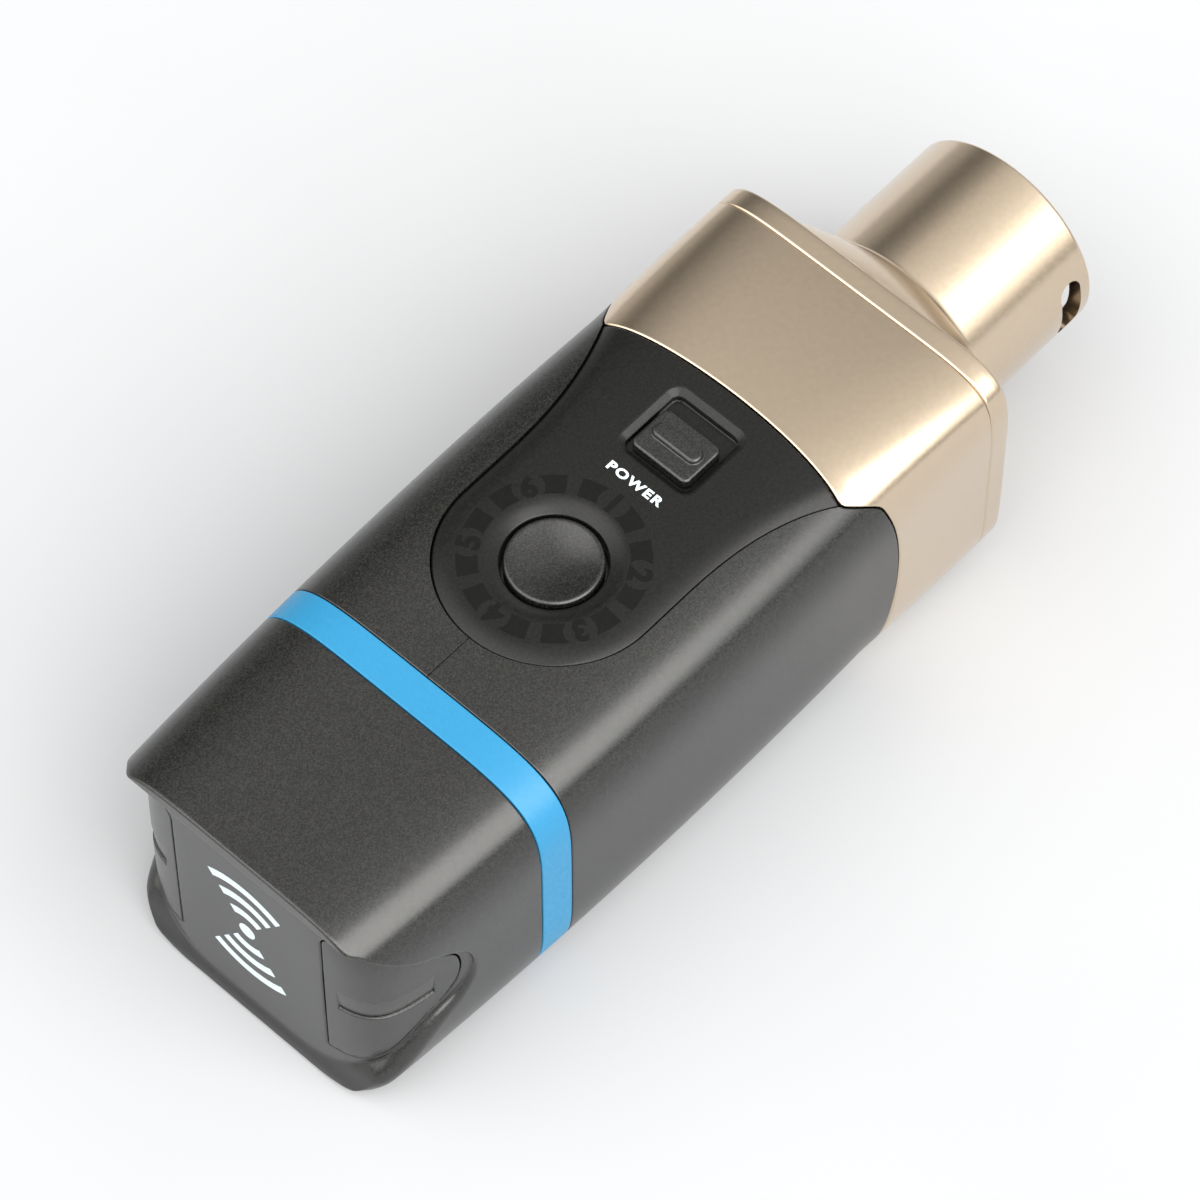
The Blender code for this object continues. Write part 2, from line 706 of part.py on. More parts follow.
def power_slider():
    """A block with a grip ridge; its stem passes through the panel to a keeper plate underneath."""
    block = rounded_rectangle((KNOB_X[0], -KNOB_HALF), (KNOB_X[1], KNOB_HALF), 0.6)
    edge = rounded_rectangle((KNOB_X[0] + 0.25, -KNOB_HALF + 0.25), (KNOB_X[1] - 0.25, KNOB_HALF - 0.25), 0.5)
    rings = [[(x, y, z) for x, y in outline] for outline, z in
             ((block, SLOT_FLOOR_Z + 0.2), (block, KNOB_TOP_Z - 0.25), (edge, KNOB_TOP_Z))]
    made = loft("power_slider", rings, charcoal(), (stem_x(), 0.0, KNOB_TOP_Z))
    ridge = rounded_rectangle((RIDGE_X[0], -RIDGE_HALF), (RIDGE_X[1], RIDGE_HALF), 0.6)
    top = KNOB_TOP_Z + RIDGE_HEIGHT
    boolean(made, upright("slider_ridge", ridge, KNOB_TOP_Z - 0.4, top, charcoal()), "UNION")
    stem = rounded_rectangle((stem_x() - STEM_HALF, -STEM_HALF), (stem_x() + STEM_HALF, STEM_HALF), 0.2, 1)
    boolean(made, upright("slider_stem", stem, 11.2, SLOT_FLOOR_Z + 0.4, charcoal()), "UNION")
    keeper = rounded_rectangle((stem_x() - 1.9, -1.8), (stem_x() + 1.9, 1.8), 0.3, 1)
    boolean(made, upright("slider_keeper", keeper, 11.05, 11.6, charcoal()), "UNION")
    return made


def slide_switch():
    middle = stem_x() + SLIDER_TRAVEL / 2
    body = rounded_rectangle((middle - 4.3, -1.8), (middle + 4.3, 1.8), 0.3, 1)
    upright("slide_switch_body", body, BOARD_TOP_Z + GAP, 9.6, tin_metal())
    stem = rounded_rectangle((stem_x() - 0.8, -0.8), (stem_x() + 0.8, 0.8), 0.2, 1)
    upright("slide_switch_stem", stem, 9.6 + GAP, 11.05 - GAP, black_plastic(), (stem_x(), 0.0, 10.0))


def light_guide():
    outer = circle((BUTTON_X, 0.0), GUIDE_OUTER, 32)
    inner = circle((BUTTON_X, 0.0), GUIDE_INNER, 32)
    heights = (9.4, 11.7)
    return tube_skin("light_guide", [[(x, y, z) for x, y in outer] for z in heights],
                     [[(x, y, z) for x, y in inner] for z in heights], smoked_clear())


def status_leds():
    for number in range(6):
        turn = math.radians(-60 * number)
        x = BUTTON_X + LED_CIRCLE * math.cos(turn)
        y = LED_CIRCLE * math.sin(turn)
        chip = rounded_rectangle((x - 0.9, y - 0.7), (x + 0.9, y + 0.7), 0.15, 1)
        upright(f"status_led_{number + 1}", chip, BOARD_TOP_Z + GAP, 9.0, led_amber())


# -------------------------------------------------------------- inner works

def main_board():
    outline = rounded_rectangle((BOARD_X[0], -BOARD_HALF), (BOARD_X[1], BOARD_HALF), 1.5)
    board = upright("main_board", outline, BOARD_TOP_Z - BOARD_THICKNESS, BOARD_TOP_Z, board_green())
    for number, spot in enumerate(SCREW_SPOTS, 1):
        hole = upright(f"board_hole_{number}", circle(spot, 1.2, 12), 5.0, 9.0, board_green())
        boolean(board, hole, "DIFFERENCE")
    return board


def board_screws():
    for number, spot in enumerate(SCREW_SPOTS, 1):
        profile = ((0.8, 2.6), (0.8, BOARD_TOP_Z + GAP), (1.5, BOARD_TOP_Z + GAP + 0.02),
                   (1.5, BOARD_TOP_Z + 0.9), (1.1, BOARD_TOP_Z + 1.2))
        turned(f"board_screw_{number}", profile, spot, tin_metal(), 12)


def chassis():
    """Tray for the cell, with four pillars that carry the board."""
    base = rounded_rectangle((-8.6, -9.4), (44.8, 9.4), 1.5)
    tray = upright("chassis", base, -11.5, -10.3, black_plastic())
    for number, spot in enumerate(SCREW_SPOTS, 1):
        top = BOARD_TOP_Z - BOARD_THICKNESS - GAP
        pillar = turned(f"pillar_{number}", ((1.9, -10.9), (1.9, top)), spot, black_plastic(), 16)
        boolean(tray, pillar, "UNION")
        bore = turned(f"pillar_bore_{number}", ((1.1, 1.8), (1.1, 8.0)), spot, black_plastic(), 12)
        boolean(tray, bore, "DIFFERENCE")
    return tray


def battery_cell():
    profile = rounded_rectangle((-10.6, -9.7), (10.6, 0.6), 1.6)
    ends = ((-3.0, 0.4), (-2.6, 0.0), (38.6, 0.0), (39.0, 0.4))
    rings = []
    for x, inset in ends:
        rings.append([(x, y * (1 - inset / 10.6), -4.55 + (z + 4.55) * (1 - inset / 5.1))
                      for y, z in profile])
    return loft("battery_cell", rings, cell_wrap())


def battery_pad():
    return upright("battery_pad", rounded_rectangle((1.0, -8.5), (35.0, 8.5), 1.0, 2), 0.95, 2.2, rubber())


def board_parts():
    """Shield can over the radio on the underside, audio chip, charging chip and antenna on the board."""
    can = rounded_rectangle((36.2, -7.0), (44.6, 7.0), 0.6, 1)
    upright("radio_shield", can, BOARD_TOP_Z + GAP, 10.0, tin_metal())
    chip = rounded_rectangle((22.0, -10.2), (26.2, -6.4), 0.2, 1)
    upright("audio_chip", chip, BOARD_TOP_Z + GAP, 9.2, black_plastic())
    charger = rounded_rectangle((-3.0, -2.0), (1.0, 2.0), 0.2, 1)
    upright("charger_chip", charger, BOARD_TOP_Z + GAP, 9.2, black_plastic())
    antenna = rounded_rectangle((-3.0, 5.0), (-1.0, 9.0), 0.2, 1)
    upright("antenna", antenna, BOARD_TOP_Z + GAP, 9.3, cell_wrap())


def charging_socket():
    outer = [[(x, y, z) for y, z in socket_outline(0.0)] for x in SOCKET_X]
    inner = [[(x, y, z) for y, z in socket_outline(-0.35)] for x in SOCKET_X]
    socket = tube_skin("charging_socket", outer, inner, tin_metal())
    back = [[(x, y, z) for y, z in socket_outline(0.0)] for x in (SOCKET_X[1] - 0.1, SOCKET_X[1] + 0.8)]
    boolean(socket, loft("socket_back", back, tin_metal()), "UNION")
    side = SOCKET_Y + SOCKET_HALF_THICK + GAP
    board = rounded_rectangle((-17.4, -5.0), (-11.4, 5.0), 0.5, 1)
    crosswise("charge_board", board, side, side + 1.0, board_green())
    return socket


def wire(name, route, radius, look):
    """A soft lead held at both ends, along a smooth line through its route."""
    points = smooth_route(route, 3)
    curve = bpy.data.curves.new(name, "CURVE")
    curve.dimensions = "3D"
    curve.bevel_depth = radius * MM
    curve.bevel_resolution = 2
    curve.use_fill_caps = True
    spline = curve.splines.new("POLY")
    spline.points.add(len(points) - 1)
    for target, point in zip(spline.points, points):
        target.co = (*place(point), 1.0)
    curve.materials.append(look)
    made = bpy.data.objects.new(name, curve)
    bpy.context.scene.collection.objects.link(made)
    return made


def leads():
    red = lead("red", (0.5, 0.02, 0.02))
    black = lead("black", (0.015, 0.015, 0.015))
    white = lead("white", (0.7, 0.7, 0.68))
    for word, look, y in (("red", red, 3.0), ("black", black, -3.0)):
        wire(f"battery_lead_{word}", ((-3.7, y, -4.0), (-7.0, y, -3.0), (-8.6, y, 1.5), (-7.4, y, 6.1)),
             0.45, look)
    for word, look, z in (("red", red, 2.0), ("black", black, -2.0)):
        wire(f"charge_lead_{word}", ((-13.5, -6.2, z), (-12.0, -5.6, z), (-9.8, -5.0, 3.0 + z / 2),
                                     (-8.3, -5.2 + z / 2, 6.1)), 0.4, look)
    for number, (spot, look) in enumerate(zip(pin_spots(), (white, red, black)), 1):
        y, z = spot
        wire(f"signal_lead_{number}", ((46.2, y, z), (44.0, y, z - 0.3), (42.2, y * 0.9, 3.4),
                                       (41.4, y * 0.9, 6.1)), 0.4, look)


# ------------------------------------------------------------------- object

def main():
    for old in list(bpy.data.objects):
        bpy.data.objects.remove(old)
    end_cap()
    port_cover("right", -1)
    port_cover("left", 1)
    accent_band()
    body_shell("right", -1)
    body_shell("left", 1)
    control_panel()
    head_sleeve()
    front_cap()
    cap_gasket()
    xlr_insert()
    contact_pins()
    channel_button()
    tact_switch()
    power_slider()
    slide_switch()
    light_guide()
    status_leds()
    main_board()
    board_screws()
    chassis()
    battery_cell()
    battery_pad()
    board_parts()
    charging_socket()
    leads()


main()
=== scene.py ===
"""Looks of the plug-on wireless audio transmitter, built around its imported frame.

Lengths are in millimetres: stations along the object count from the front edge
of the accent band, heights from the connector's axis, as in the CAD model.
place() turns them into the frame's metres.
"""

import json
import math

import bmesh
import bpy
import numpy as np
from mathutils import Matrix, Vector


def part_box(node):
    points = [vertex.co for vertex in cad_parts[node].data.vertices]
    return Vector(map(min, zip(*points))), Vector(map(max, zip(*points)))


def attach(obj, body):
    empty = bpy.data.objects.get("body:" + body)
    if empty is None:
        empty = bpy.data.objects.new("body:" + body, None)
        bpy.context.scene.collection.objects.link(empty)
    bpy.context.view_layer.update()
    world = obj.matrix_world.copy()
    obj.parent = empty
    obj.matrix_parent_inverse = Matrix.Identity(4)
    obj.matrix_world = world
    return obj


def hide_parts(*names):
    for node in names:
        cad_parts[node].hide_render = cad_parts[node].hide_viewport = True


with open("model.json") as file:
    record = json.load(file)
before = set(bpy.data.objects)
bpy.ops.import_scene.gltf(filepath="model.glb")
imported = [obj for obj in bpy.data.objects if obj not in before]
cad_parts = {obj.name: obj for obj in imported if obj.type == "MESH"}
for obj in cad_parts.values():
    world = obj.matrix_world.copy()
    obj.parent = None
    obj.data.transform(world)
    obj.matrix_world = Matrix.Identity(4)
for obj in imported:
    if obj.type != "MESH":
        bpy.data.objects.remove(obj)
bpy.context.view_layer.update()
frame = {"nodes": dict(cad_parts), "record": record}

FINE = 1.0  # factor on the sampled solids' cells
TURNS = 320  # directions round a ring of the housing

# Overall stations
REAR_X = -21.8
MOUTH_X = 70.7
REST_Z = -13.62
CENTRE_X = REAR_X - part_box("end_cap")[0][0] * 1000
WALL = 1.6

# Section of the housing
BODY_HALF_WIDTH = 15.87
BODY_HALF_HEIGHT = 13.75
WIDEST_X = 18.7
WIDTH_FALL = 0.00097
SECTION_POWER = 4.8
FRONT_POWER = 6.4
HEAD_DROP = 0.75
SLEEVE_START_X = 36.0
SLEEVE_END_X = 50.45

# Seam between shells and sleeve, across the top and down the side
TOP_SEAM_X = 35.95
TOP_SEAM_BOW = 0.0085
SIDE_SEAM_X = 39.3
SIDE_SEAM_BOW = 0.016
SEAM_TURN_Y = 13.0
SEAM_TURN_WIDTH = 1.6

# Accent band
BAND_REAR_X = -3.3
BAND_GAP = 0.05

# Block behind the end face
CORE_REAR_X = -20.9
CORE_STRAIGHT_X = -10.5
CORE_ROUND = 10.4
CORE_HALF_HEIGHT = 13.2
CORE_FRONT_X = -7.0
CORE_POWER = 6
CORE_INSET = 1.25
CORE_INSET_LOSS = 0.9

# Rear cap and port covers
FOOT_FLARE = 0.45
HOLLOW_REAR_X = -18.2
HOLLOW_X = (HOLLOW_REAR_X, -15.0, -11.3, -9.6, 0.0)
HOLLOW_INSET = (3.35, 3.1, 2.8, WALL, WALL)
POCKET_DEPTH = 1.2
SOCKET_MOUTH = ((-11.15, -4.05), (-8.05, 4.05))
SOCKET_FRONT_X = -17.0
COVER_GAP = 0.13
COVER_THICKNESS = 0.9
COVER_TOP_Z = 9.4
HINGE_SEAM_Y = 8.2
COVER_SPAN_Y = (7.9, 16.2)
GRIP_NEAR_Y = 9.5
GRIP_FRONT_X = -14.45
GRIP_TOP_Z = 1.6
GRIP_FOOT_Z = -1.0
GRIP_DEPTH = 0.22

# Side outlines of the notch and of the cover in it, as (station, height)
NOTCH = ((-24.5, 12.2), (-21.6, 11.9), (-20.3, 10.8), (-18.5, 8.8), (-16.6, 7.1), (-14.7, 5.7),
         (-12.9, 4.2), (-11.4, 2.4), (-10.8, 0.3), (-11.2, -1.7), (-12.6, -3.1), (-14.9, -4.3),
         (-17.0, -5.9), (-18.8, -7.9), (-20.3, -9.6), (-21.7, -11.9), (-24.5, -12.3))
COVER = ((-23.5, 10.4), (-20.8, 10.1), (-19.4, 8.9), (-17.6, 7.1), (-15.7, 5.6), (-13.8, 4.2),
         (-12.3, 2.6), (-11.9, 0.6), (-12.3, -1.1), (-13.5, -2.5), (-15.2, -3.6), (-17.0, -5.1),
         (-18.7, -7.0), (-20.6, -8.4), (-23.5, -8.7))

# Control panel
SHELL_REAR_X = 0.05
SHELL_SEAM_HALF = 0.035
PANEL_TOP = 13.9
PANEL_GAP = 0.1
PANEL_RISE = 0.15
PANEL_THICKNESS = 1.7
PANEL_RING = 9.8
PANEL_FRONT_X = 34.2
FLARE_START_X = 19.0
FLARE_LENGTH = 15.6
FLARE_WIDTH = 3.1
FLARE_POWER = 2.5
PANEL_EDGE_ROUND = 1.9
PANEL_EDGE_DROP = 0.36
DISH_RADII = (3.4, 6.2)
DISH_DEPTH = 0.85
DISH_POWER = 1.15

# Channel button
BUTTON_X = 14.75
BUTTON_HOLE = 4.4
KEY_TOP_Z = 13.6
KEY_RADIUS = 4.1
KEY_RIM = 0.3
KEY_HOLLOW = 0.68
KEY_HOLLOW_RADIUS = 3.8

# Power switch
SLOT_X = (26.45, 33.15)
SLOT_HALF = 3.45
SLOT_FLOOR_Z = 12.9
SLOT_CHAMFER_DEPTH = 0.45
SLOT_CHAMFER_SLOPE = 0.75
KNOB_X = (26.9, 31.4)
KNOB_HALF = 3.05
KNOB_TOP_Z = 13.95
RIDGE_X = (28.55, 30.1)
RIDGE_HALF = 2.45
RIDGE_RISE = 0.4
STEM_X = 29.05
STEM_HALF = 0.8
STEM_FOOT_Z = 11.2
STEM_SLOT_HALF = 1.1
STEM_SLOT_FRONT = 2.4
KEEPER_HALF_LENGTH = 1.9
KEEPER_HALF_WIDTH = 1.8
KEEPER_Z = (11.05, 11.6)

# Printed marks
DIGIT_RING = 7.0
DIGIT_SIZE = 2.6
DIGIT_CLEARANCE = 1.38
WINDOW_RADII = (6.1, 7.85)
WINDOW_END = 25.3
PRINT_THICKNESS = 0.05
LABEL_SPOT = (24.25, -0.05)
LABEL_SIZE = 1.15
MARK_X = (-20.93, -20.85)
MARK_CENTRE = (0.2, 0.0)
MARK_DOT = 0.85
MARK_RADII = (2.6, 4.6, 6.6)
MARK_LINE_HALF = 0.45
MARK_HALF_TURN = 34

# Front cap and connector
COLLAR_X = SLEEVE_END_X + 0.01
COLLAR_ROUND = 0.26
SPIGOT_REAR_X = 45.8
SPIGOT_STEP_X = 48.0
SPIGOT_INSET = 1.9
SPIGOT_INNER_INSET = 3.5
DOME_X = 52.66
DOME_LENGTH = 3.72
DOME_TURNS = (math.radians(28.0), math.radians(54.0))
DOME_FLAT_SHARE = 0.45
DOME_FLAT_RADIUS = 12.75
DOME_END_RADIUS = 9.68
BARREL_RADIUS = 9.5
BORE_RADIUS = 8.2
LIP_ROUND = 0.3
INSULATOR_X = (50.65, 57.6)
PIN_RING = 4.0
PIN_RADIUS = 1.2
PIN_HOLE_RADIUS = 1.42
AXIS_RADIUS = 0.001  # near zero, so that turned points stay apart

# Mesh handling
WELD_DISTANCE = 2e-7  # in metres
SHARP_DEGREES = 35.0
PRINT_SHARP_DEGREES = 50.0
CROSSING_PROBE = 0.015
SURFACE_PROBE = 0.02
CELL_SLACK = 0.05  # how far a point may leave its cell, as a share of it
LONGEST_MOVE = 0.3


# --- placement

def place(points):
    """From millimetre stations to metres in the frame."""
    return (np.asarray(points, float) - (CENTRE_X, 0.0, REST_Z)) * 0.001


def add_mesh(name, points, faces, look, normals=None):
    """A new object from points in millimetres."""
    mesh = bpy.data.meshes.new(name)
    mesh.from_pydata(place(points).tolist(), [], [tuple(f) for f in faces])
    mesh.update()
    mesh.materials.append(look)
    made = bpy.data.objects.new(name, mesh)
    bpy.context.scene.collection.objects.link(made)
    if normals is not None:
        mesh.shade_smooth()
        mesh.normals_split_custom_set_from_vertices(normals.tolist())
    return made


def soften(made, degrees=SHARP_DEGREES):
    """Outward faces and smooth shading, broken only at real edges."""
    bm = bmesh.new()
    bm.from_mesh(made.data)
    bmesh.ops.remove_doubles(bm, verts=bm.verts, dist=WELD_DISTANCE)
    bmesh.ops.recalc_face_normals(bm, faces=bm.faces)
    bm.to_mesh(made.data)
    bm.free()
    made.data.shade_smooth()
    made.data.set_sharp_from_angle(angle=math.radians(degrees))
    return made


def cut(made, tool):
    """Takes the tool's solid out of the piece and removes the tool."""
    soften(tool)
    step = made.modifiers.new("cut", "BOOLEAN")
    step.operation = "DIFFERENCE"
    step.object = tool
    step.solver = "EXACT"
    graph = bpy.context.evaluated_depsgraph_get()
    old = made.data
    made.data = bpy.data.meshes.new_from_object(made.evaluated_get(graph))
    made.modifiers.clear()
    bpy.data.meshes.remove(old)
    bpy.data.objects.remove(tool)
    made.data.set_sharp_from_angle(angle=math.radians(SHARP_DEGREES))
    return made


# --- shape functions

def smooth(value, low, high):
    """An S-shaped rise from 0 at the low value to 1 at the high one."""
    t = np.clip((value - low) / (high - low), 0.0, 1.0)
    return t * t * (3 - 2 * t)


def ramp(value, rounding=0.14):
    """A straight rise from 0 to 1 with its two bends rounded."""
    def area(t):
        return 0.5 * np.clip(t, 0.0, 1.0) ** 2 + np.maximum(t - 1.0, 0.0)
    return (area(value + rounding) - area(value - rounding)) / (2 * rounding)


def half_width(x):
    return BODY_HALF_WIDTH - WIDTH_FALL * (np.minimum(x, SLEEVE_START_X) - WIDEST_X) ** 2


def head_share(x):
    """How far along the metal sleeve a station is, from 0 to 1."""
    return np.clip((x - SLEEVE_START_X) / (SLEEVE_END_X - SLEEVE_START_X), 0.0, 1.0)


def half_height(x):
    return BODY_HALF_HEIGHT - HEAD_DROP * head_share(x) ** 2


def section_power(x):
    return SECTION_POWER + (FRONT_POWER - SECTION_POWER) * head_share(x)


def crown_z(x, y):
    """Height of the housing's top."""
    across = np.clip(np.abs(y) / half_width(x), 0.0, 0.999)
    return half_height(x) * (1 - across ** SECTION_POWER) ** (1 / SECTION_POWER)


def section_spot(x, turn, inset=0.0, flat=True):
    """Point of the housing's section in one direction from its axis."""
    width = half_width(x) - inset
    height = half_height(x) - inset
    power = section_power(x)
    c = np.cos(turn)
    s = np.sin(turn)
    reach = ((np.abs(c) / width) ** power + (np.abs(s) / height) ** power) ** (-1 / power)
    z = reach * s
    if flat:
        z = np.maximum(z, REST_Z + inset)
    return np.stack(np.broadcast_arrays(x, reach * c, z), -1)


def top_seam_x(y):
    """Station of the sleeve's rear edge across the top."""
    return TOP_SEAM_X - TOP_SEAM_BOW * y * y


def seam_x(y, z):
    """Station of the seam between the shells and the metal sleeve."""
    top = top_seam_x(y)
    side = SIDE_SEAM_X - SIDE_SEAM_BOW * z * z
    return top + (side - top) * ramp((np.abs(y) - SEAM_TURN_Y) / SEAM_TURN_WIDTH)


def rounded_max(a, b, radius):
    """The larger of two distances, with a round edge where they meet."""
    return (np.minimum(np.maximum(a, b), -radius)
            + np.hypot(np.maximum(a + radius, 0), np.maximum(b + radius, 0)))


def rounded_min(a, b, radius):
    """The smaller of two distances, with a round hollow where they meet."""
    return -rounded_max(-a, -b, radius)


def section_field(x, y, z):
    """Distance from the housing's section, true enough close to it."""
    width = half_width(x)
    height = half_height(x)
    power = section_power(x)
    u = np.abs(y) / width
    v = np.abs(z) / height
    g = (u ** power + v ** power) ** (1 / power) + 1e-9
    slope = np.hypot((u / g) ** (power - 1) / width, (v / g) ** (power - 1) / height)
    return np.maximum((g - 1) / slope, REST_Z - z)


def core_field(x, y, z):
    """Distance from the block that ends in the recessed face with its round corners."""
    along = np.clip((x - CORE_REAR_X) / CORE_ROUND, 0.0, 1.0)
    depth = CORE_INSET - CORE_INSET_LOSS * along
    rest = np.clip(1 - (np.abs(z) / CORE_HALF_HEIGHT) ** SECTION_POWER, 1e-4, 1.0)
    width = (half_width(x) - depth) * rest ** (1 / SECTION_POWER)
    u = np.clip((CORE_STRAIGHT_X - x) / CORE_ROUND, 0.0, None)
    v = np.abs(y) / width
    g = (u ** CORE_POWER + v ** CORE_POWER) ** (1 / CORE_POWER) + 1e-9
    slope = np.hypot((u / g) ** (CORE_POWER - 1) / CORE_ROUND, (v / g) ** (CORE_POWER - 1) / width)
    return np.maximum((g - 1) / np.maximum(slope, 0.02), np.abs(z) - CORE_HALF_HEIGHT)


def smooth_outline(controls, steps):
    """A closed smooth curve through the control points."""
    controls = np.array(controls)
    count = len(controls)
    points = []
    for k in range(count):
        a, b, c, d = (controls[(k + shift) % count] for shift in (-1, 0, 1, 2))
        for step in range(steps):
            t = step / steps
            points.append(0.5 * (2 * b + (c - a) * t + (2 * a - 5 * b + 4 * c - d) * t * t
                                 + (3 * b - a - 3 * c + d) * t ** 3))
    return np.array(points)


class FlatField:
    """Signed distance from a closed outline in a plane, negative inside it."""

    def __init__(self, outline, step=0.06, margin=2.5):
        outline = np.asarray(outline, float)
        self.low = outline.min(0) - margin
        self.step = step
        sizes = np.ceil((outline.max(0) + margin - self.low) / step).astype(int) + 1
        axes = [self.low[k] + step * np.arange(sizes[k]) for k in (0, 1)]
        a, b = np.meshgrid(*axes, indexing="ij")
        nearest = np.full(a.shape, 1e9)
        inside = np.zeros(a.shape, bool)
        for (ax, ay), (bx, by) in zip(outline, np.roll(outline, -1, 0)):
            dx, dy = bx - ax, by - ay
            length = dx * dx + dy * dy
            if length < 1e-12:
                continue
            t = np.clip(((a - ax) * dx + (b - ay) * dy) / length, 0.0, 1.0)
            nearest = np.minimum(nearest, (a - ax - t * dx) ** 2 + (b - ay - t * dy) ** 2)
            if ay != by:
                spans = (ay > b) != (by > b)
                inside ^= spans & (a < ax + (b - ay) * dx / dy)
        self.values = np.where(inside, -1.0, 1.0) * np.sqrt(nearest)

    def __call__(self, a, b):
        most = np.array(self.values.shape) - 1.001
        s = np.clip((a - self.low[0]) / self.step, 0.0, most[0])
        t = np.clip((b - self.low[1]) / self.step, 0.0, most[1])
        i, j = s.astype(int), t.astype(int)
        s, t = s - i, t - j
        v = self.values
        return ((v[i, j] * (1 - s) + v[i + 1, j] * s) * (1 - t)
                + (v[i, j + 1] * (1 - s) + v[i + 1, j + 1] * s) * t)


def slope_of(field, points, reach):
    """The field's gradient at each point."""
    slope = np.empty_like(points)
    for axis in range(3):
        ahead, behind = points.copy(), points.copy()
        ahead[:, axis] += reach
        behind[:, axis] -= reach
        slope[:, axis] = (field(*ahead.T) - field(*behind.T)) / (2 * reach)
    return slope


def meeting_points(field, crossings, corner, spread=0.06):
    """For each cell, the point nearest the tangent planes of its crossings: edges stay crisp."""
    slope = slope_of(field, crossings, CROSSING_PROBE)
    length = np.maximum(np.linalg.norm(slope, axis=1), 1e-6)
    normal = slope / length[:, None]
    level = (normal * crossings).sum(1) - field(*crossings.T) / length
    shares = np.bincount(corner)

    def gathered(values):
        return np.bincount(corner, np.repeat(values, 4))

    middle = np.stack([gathered(crossings[:, k]) / shares for k in range(3)], 1)
    planes = np.empty((len(shares), 3, 3))
    aims = np.empty((len(shares), 3))
    for i in range(3):
        aims[:, i] = gathered(normal[:, i] * level)
        for j in range(3):
            planes[:, i, j] = gathered(normal[:, i] * normal[:, j])
    aims -= np.einsum("nij,nj->ni", planes, middle)
    planes += spread * shares[:, None, None] * np.eye(3)
    return middle + np.linalg.solve(planes, aims[:, :, None])[:, :, 0]


def solid_from_field(name, field, low, high, step, look):
    """A closed mesh where the field is zero, with one point in each crossed cell."""
    step *= FINE
    low = np.array(low, float)
    counts = np.ceil((np.array(high) - low) / step).astype(int) + 1
    axes = [low[k] + step * np.arange(counts[k]) for k in range(3)]
    values = field(*np.meshgrid(*axes, indexing="ij"))
    inside = values < 0
    rings = []
    spots = []
    for axis in range(3):
        here = [slice(None)] * 3
        there = [slice(None)] * 3
        here[axis] = slice(None, -1)
        there[axis] = slice(1, None)
        here, there = tuple(here), tuple(there)
        crossed = inside[here] != inside[there]
        index = np.argwhere(crossed)
        first, second = values[here][crossed], values[there][crossed]
        spot = index.astype(float)
        spot[:, axis] += first / (first - second)
        u, w = (axis + 1) % 3, (axis + 2) % 3
        ring = []
        for shift_u, shift_w in ((-1, -1), (0, -1), (0, 0), (-1, 0)):
            cell = index.copy()
            cell[:, u] += shift_u
            cell[:, w] += shift_w
            ring.append(np.ravel_multi_index(cell.T, counts))
        ring = np.stack(ring, 1)
        ring[first > 0] = ring[first > 0][:, ::-1]
        rings.append(ring)
        spots.append(spot)
    cells, corner = np.unique(np.concatenate(rings), return_inverse=True)
    corner = corner.reshape(-1)
    points = meeting_points(field, low + np.concatenate(spots) * step, corner)
    cell_low = low + np.stack(np.unravel_index(cells, counts), 1) * step
    for _ in range(3):
        points = np.clip(points, cell_low - CELL_SLACK * step, cell_low + (1 + CELL_SLACK) * step)
        slope = slope_of(field, points, SURFACE_PROBE)
        move = field(*points.T)[:, None] * slope / np.maximum((slope ** 2).sum(1), 0.05)[:, None]
        points = points - np.clip(move, -LONGEST_MOVE * step, LONGEST_MOVE * step)
    slope = slope_of(field, points, SURFACE_PROBE)
    normals = slope / np.maximum(np.linalg.norm(slope, axis=1), 1e-9)[:, None]
    return add_mesh(name, points, corner.reshape(-1, 4), look, normals)


# --- wall lofts

def rounded_wall(x0, x1, wall, rear_radius, front_radius, rows):
    """(station, inset) pairs round a wall between two stations, its outer edges rounded."""
    steps = 5
    inner_rows = 6
    margin = 0.06
    pairs = [(x0, wall), (x0, 0.5 * (wall + rear_radius))]
    for k in range(steps + 1):
        turn = 0.5 * math.pi * k / steps
        pairs.append((x0 + rear_radius * (1 - math.cos(turn)), rear_radius * (1 - math.sin(turn))))
    start = x0 + rear_radius + margin
    end = x1 - front_radius - margin
    pairs += [(start + (end - start) * k / rows, 0.0) for k in range(rows + 1)]
    for k in range(steps + 1):
        turn = 0.5 * math.pi * k / steps
        pairs.append((x1 - front_radius * (1 - math.sin(turn)),
                      front_radius * (1 - math.cos(turn))))
    pairs += [(x1, 0.5 * (wall + front_radius)), (x1, wall)]
    pairs += [(x1 + (x0 - x1) * k / inner_rows, wall) for k in range(1, inner_rows)]
    return pairs


def sweep(name, loops, look, closed=True):
    """A solid through closed profile loops, one for each direction round the axis."""
    loops = np.asarray(loops)
    turns, around = loops.shape[:2]
    faces = []
    for i in range(turns if closed else turns - 1):
        j = (i + 1) % turns
        for k in range(around):
            m = (k + 1) % around
            faces.append((i * around + k, i * around + m, j * around + m, j * around + k))
    if not closed:
        faces.append(tuple(range(around))[::-1])
        faces.append(tuple(range((turns - 1) * around, turns * around)))
    return soften(add_mesh(name, loops.reshape(-1, 3), faces, look))


def lathe(name, profile, centre, look, axis="z", count=128):
    """A closed profile of (radius, height) pairs turned about an axis."""
    loops = []
    for k in range(count):
        turn = 2 * math.pi * k / count
        c, s = math.cos(turn), math.sin(turn)
        if axis == "z":
            loops.append([(centre[0] + r * c, centre[1] + r * s, h) for r, h in profile])
        else:
            loops.append([(h, centre[0] + r * c, centre[1] + r * s) for r, h in profile])
    return sweep(name, loops, look)


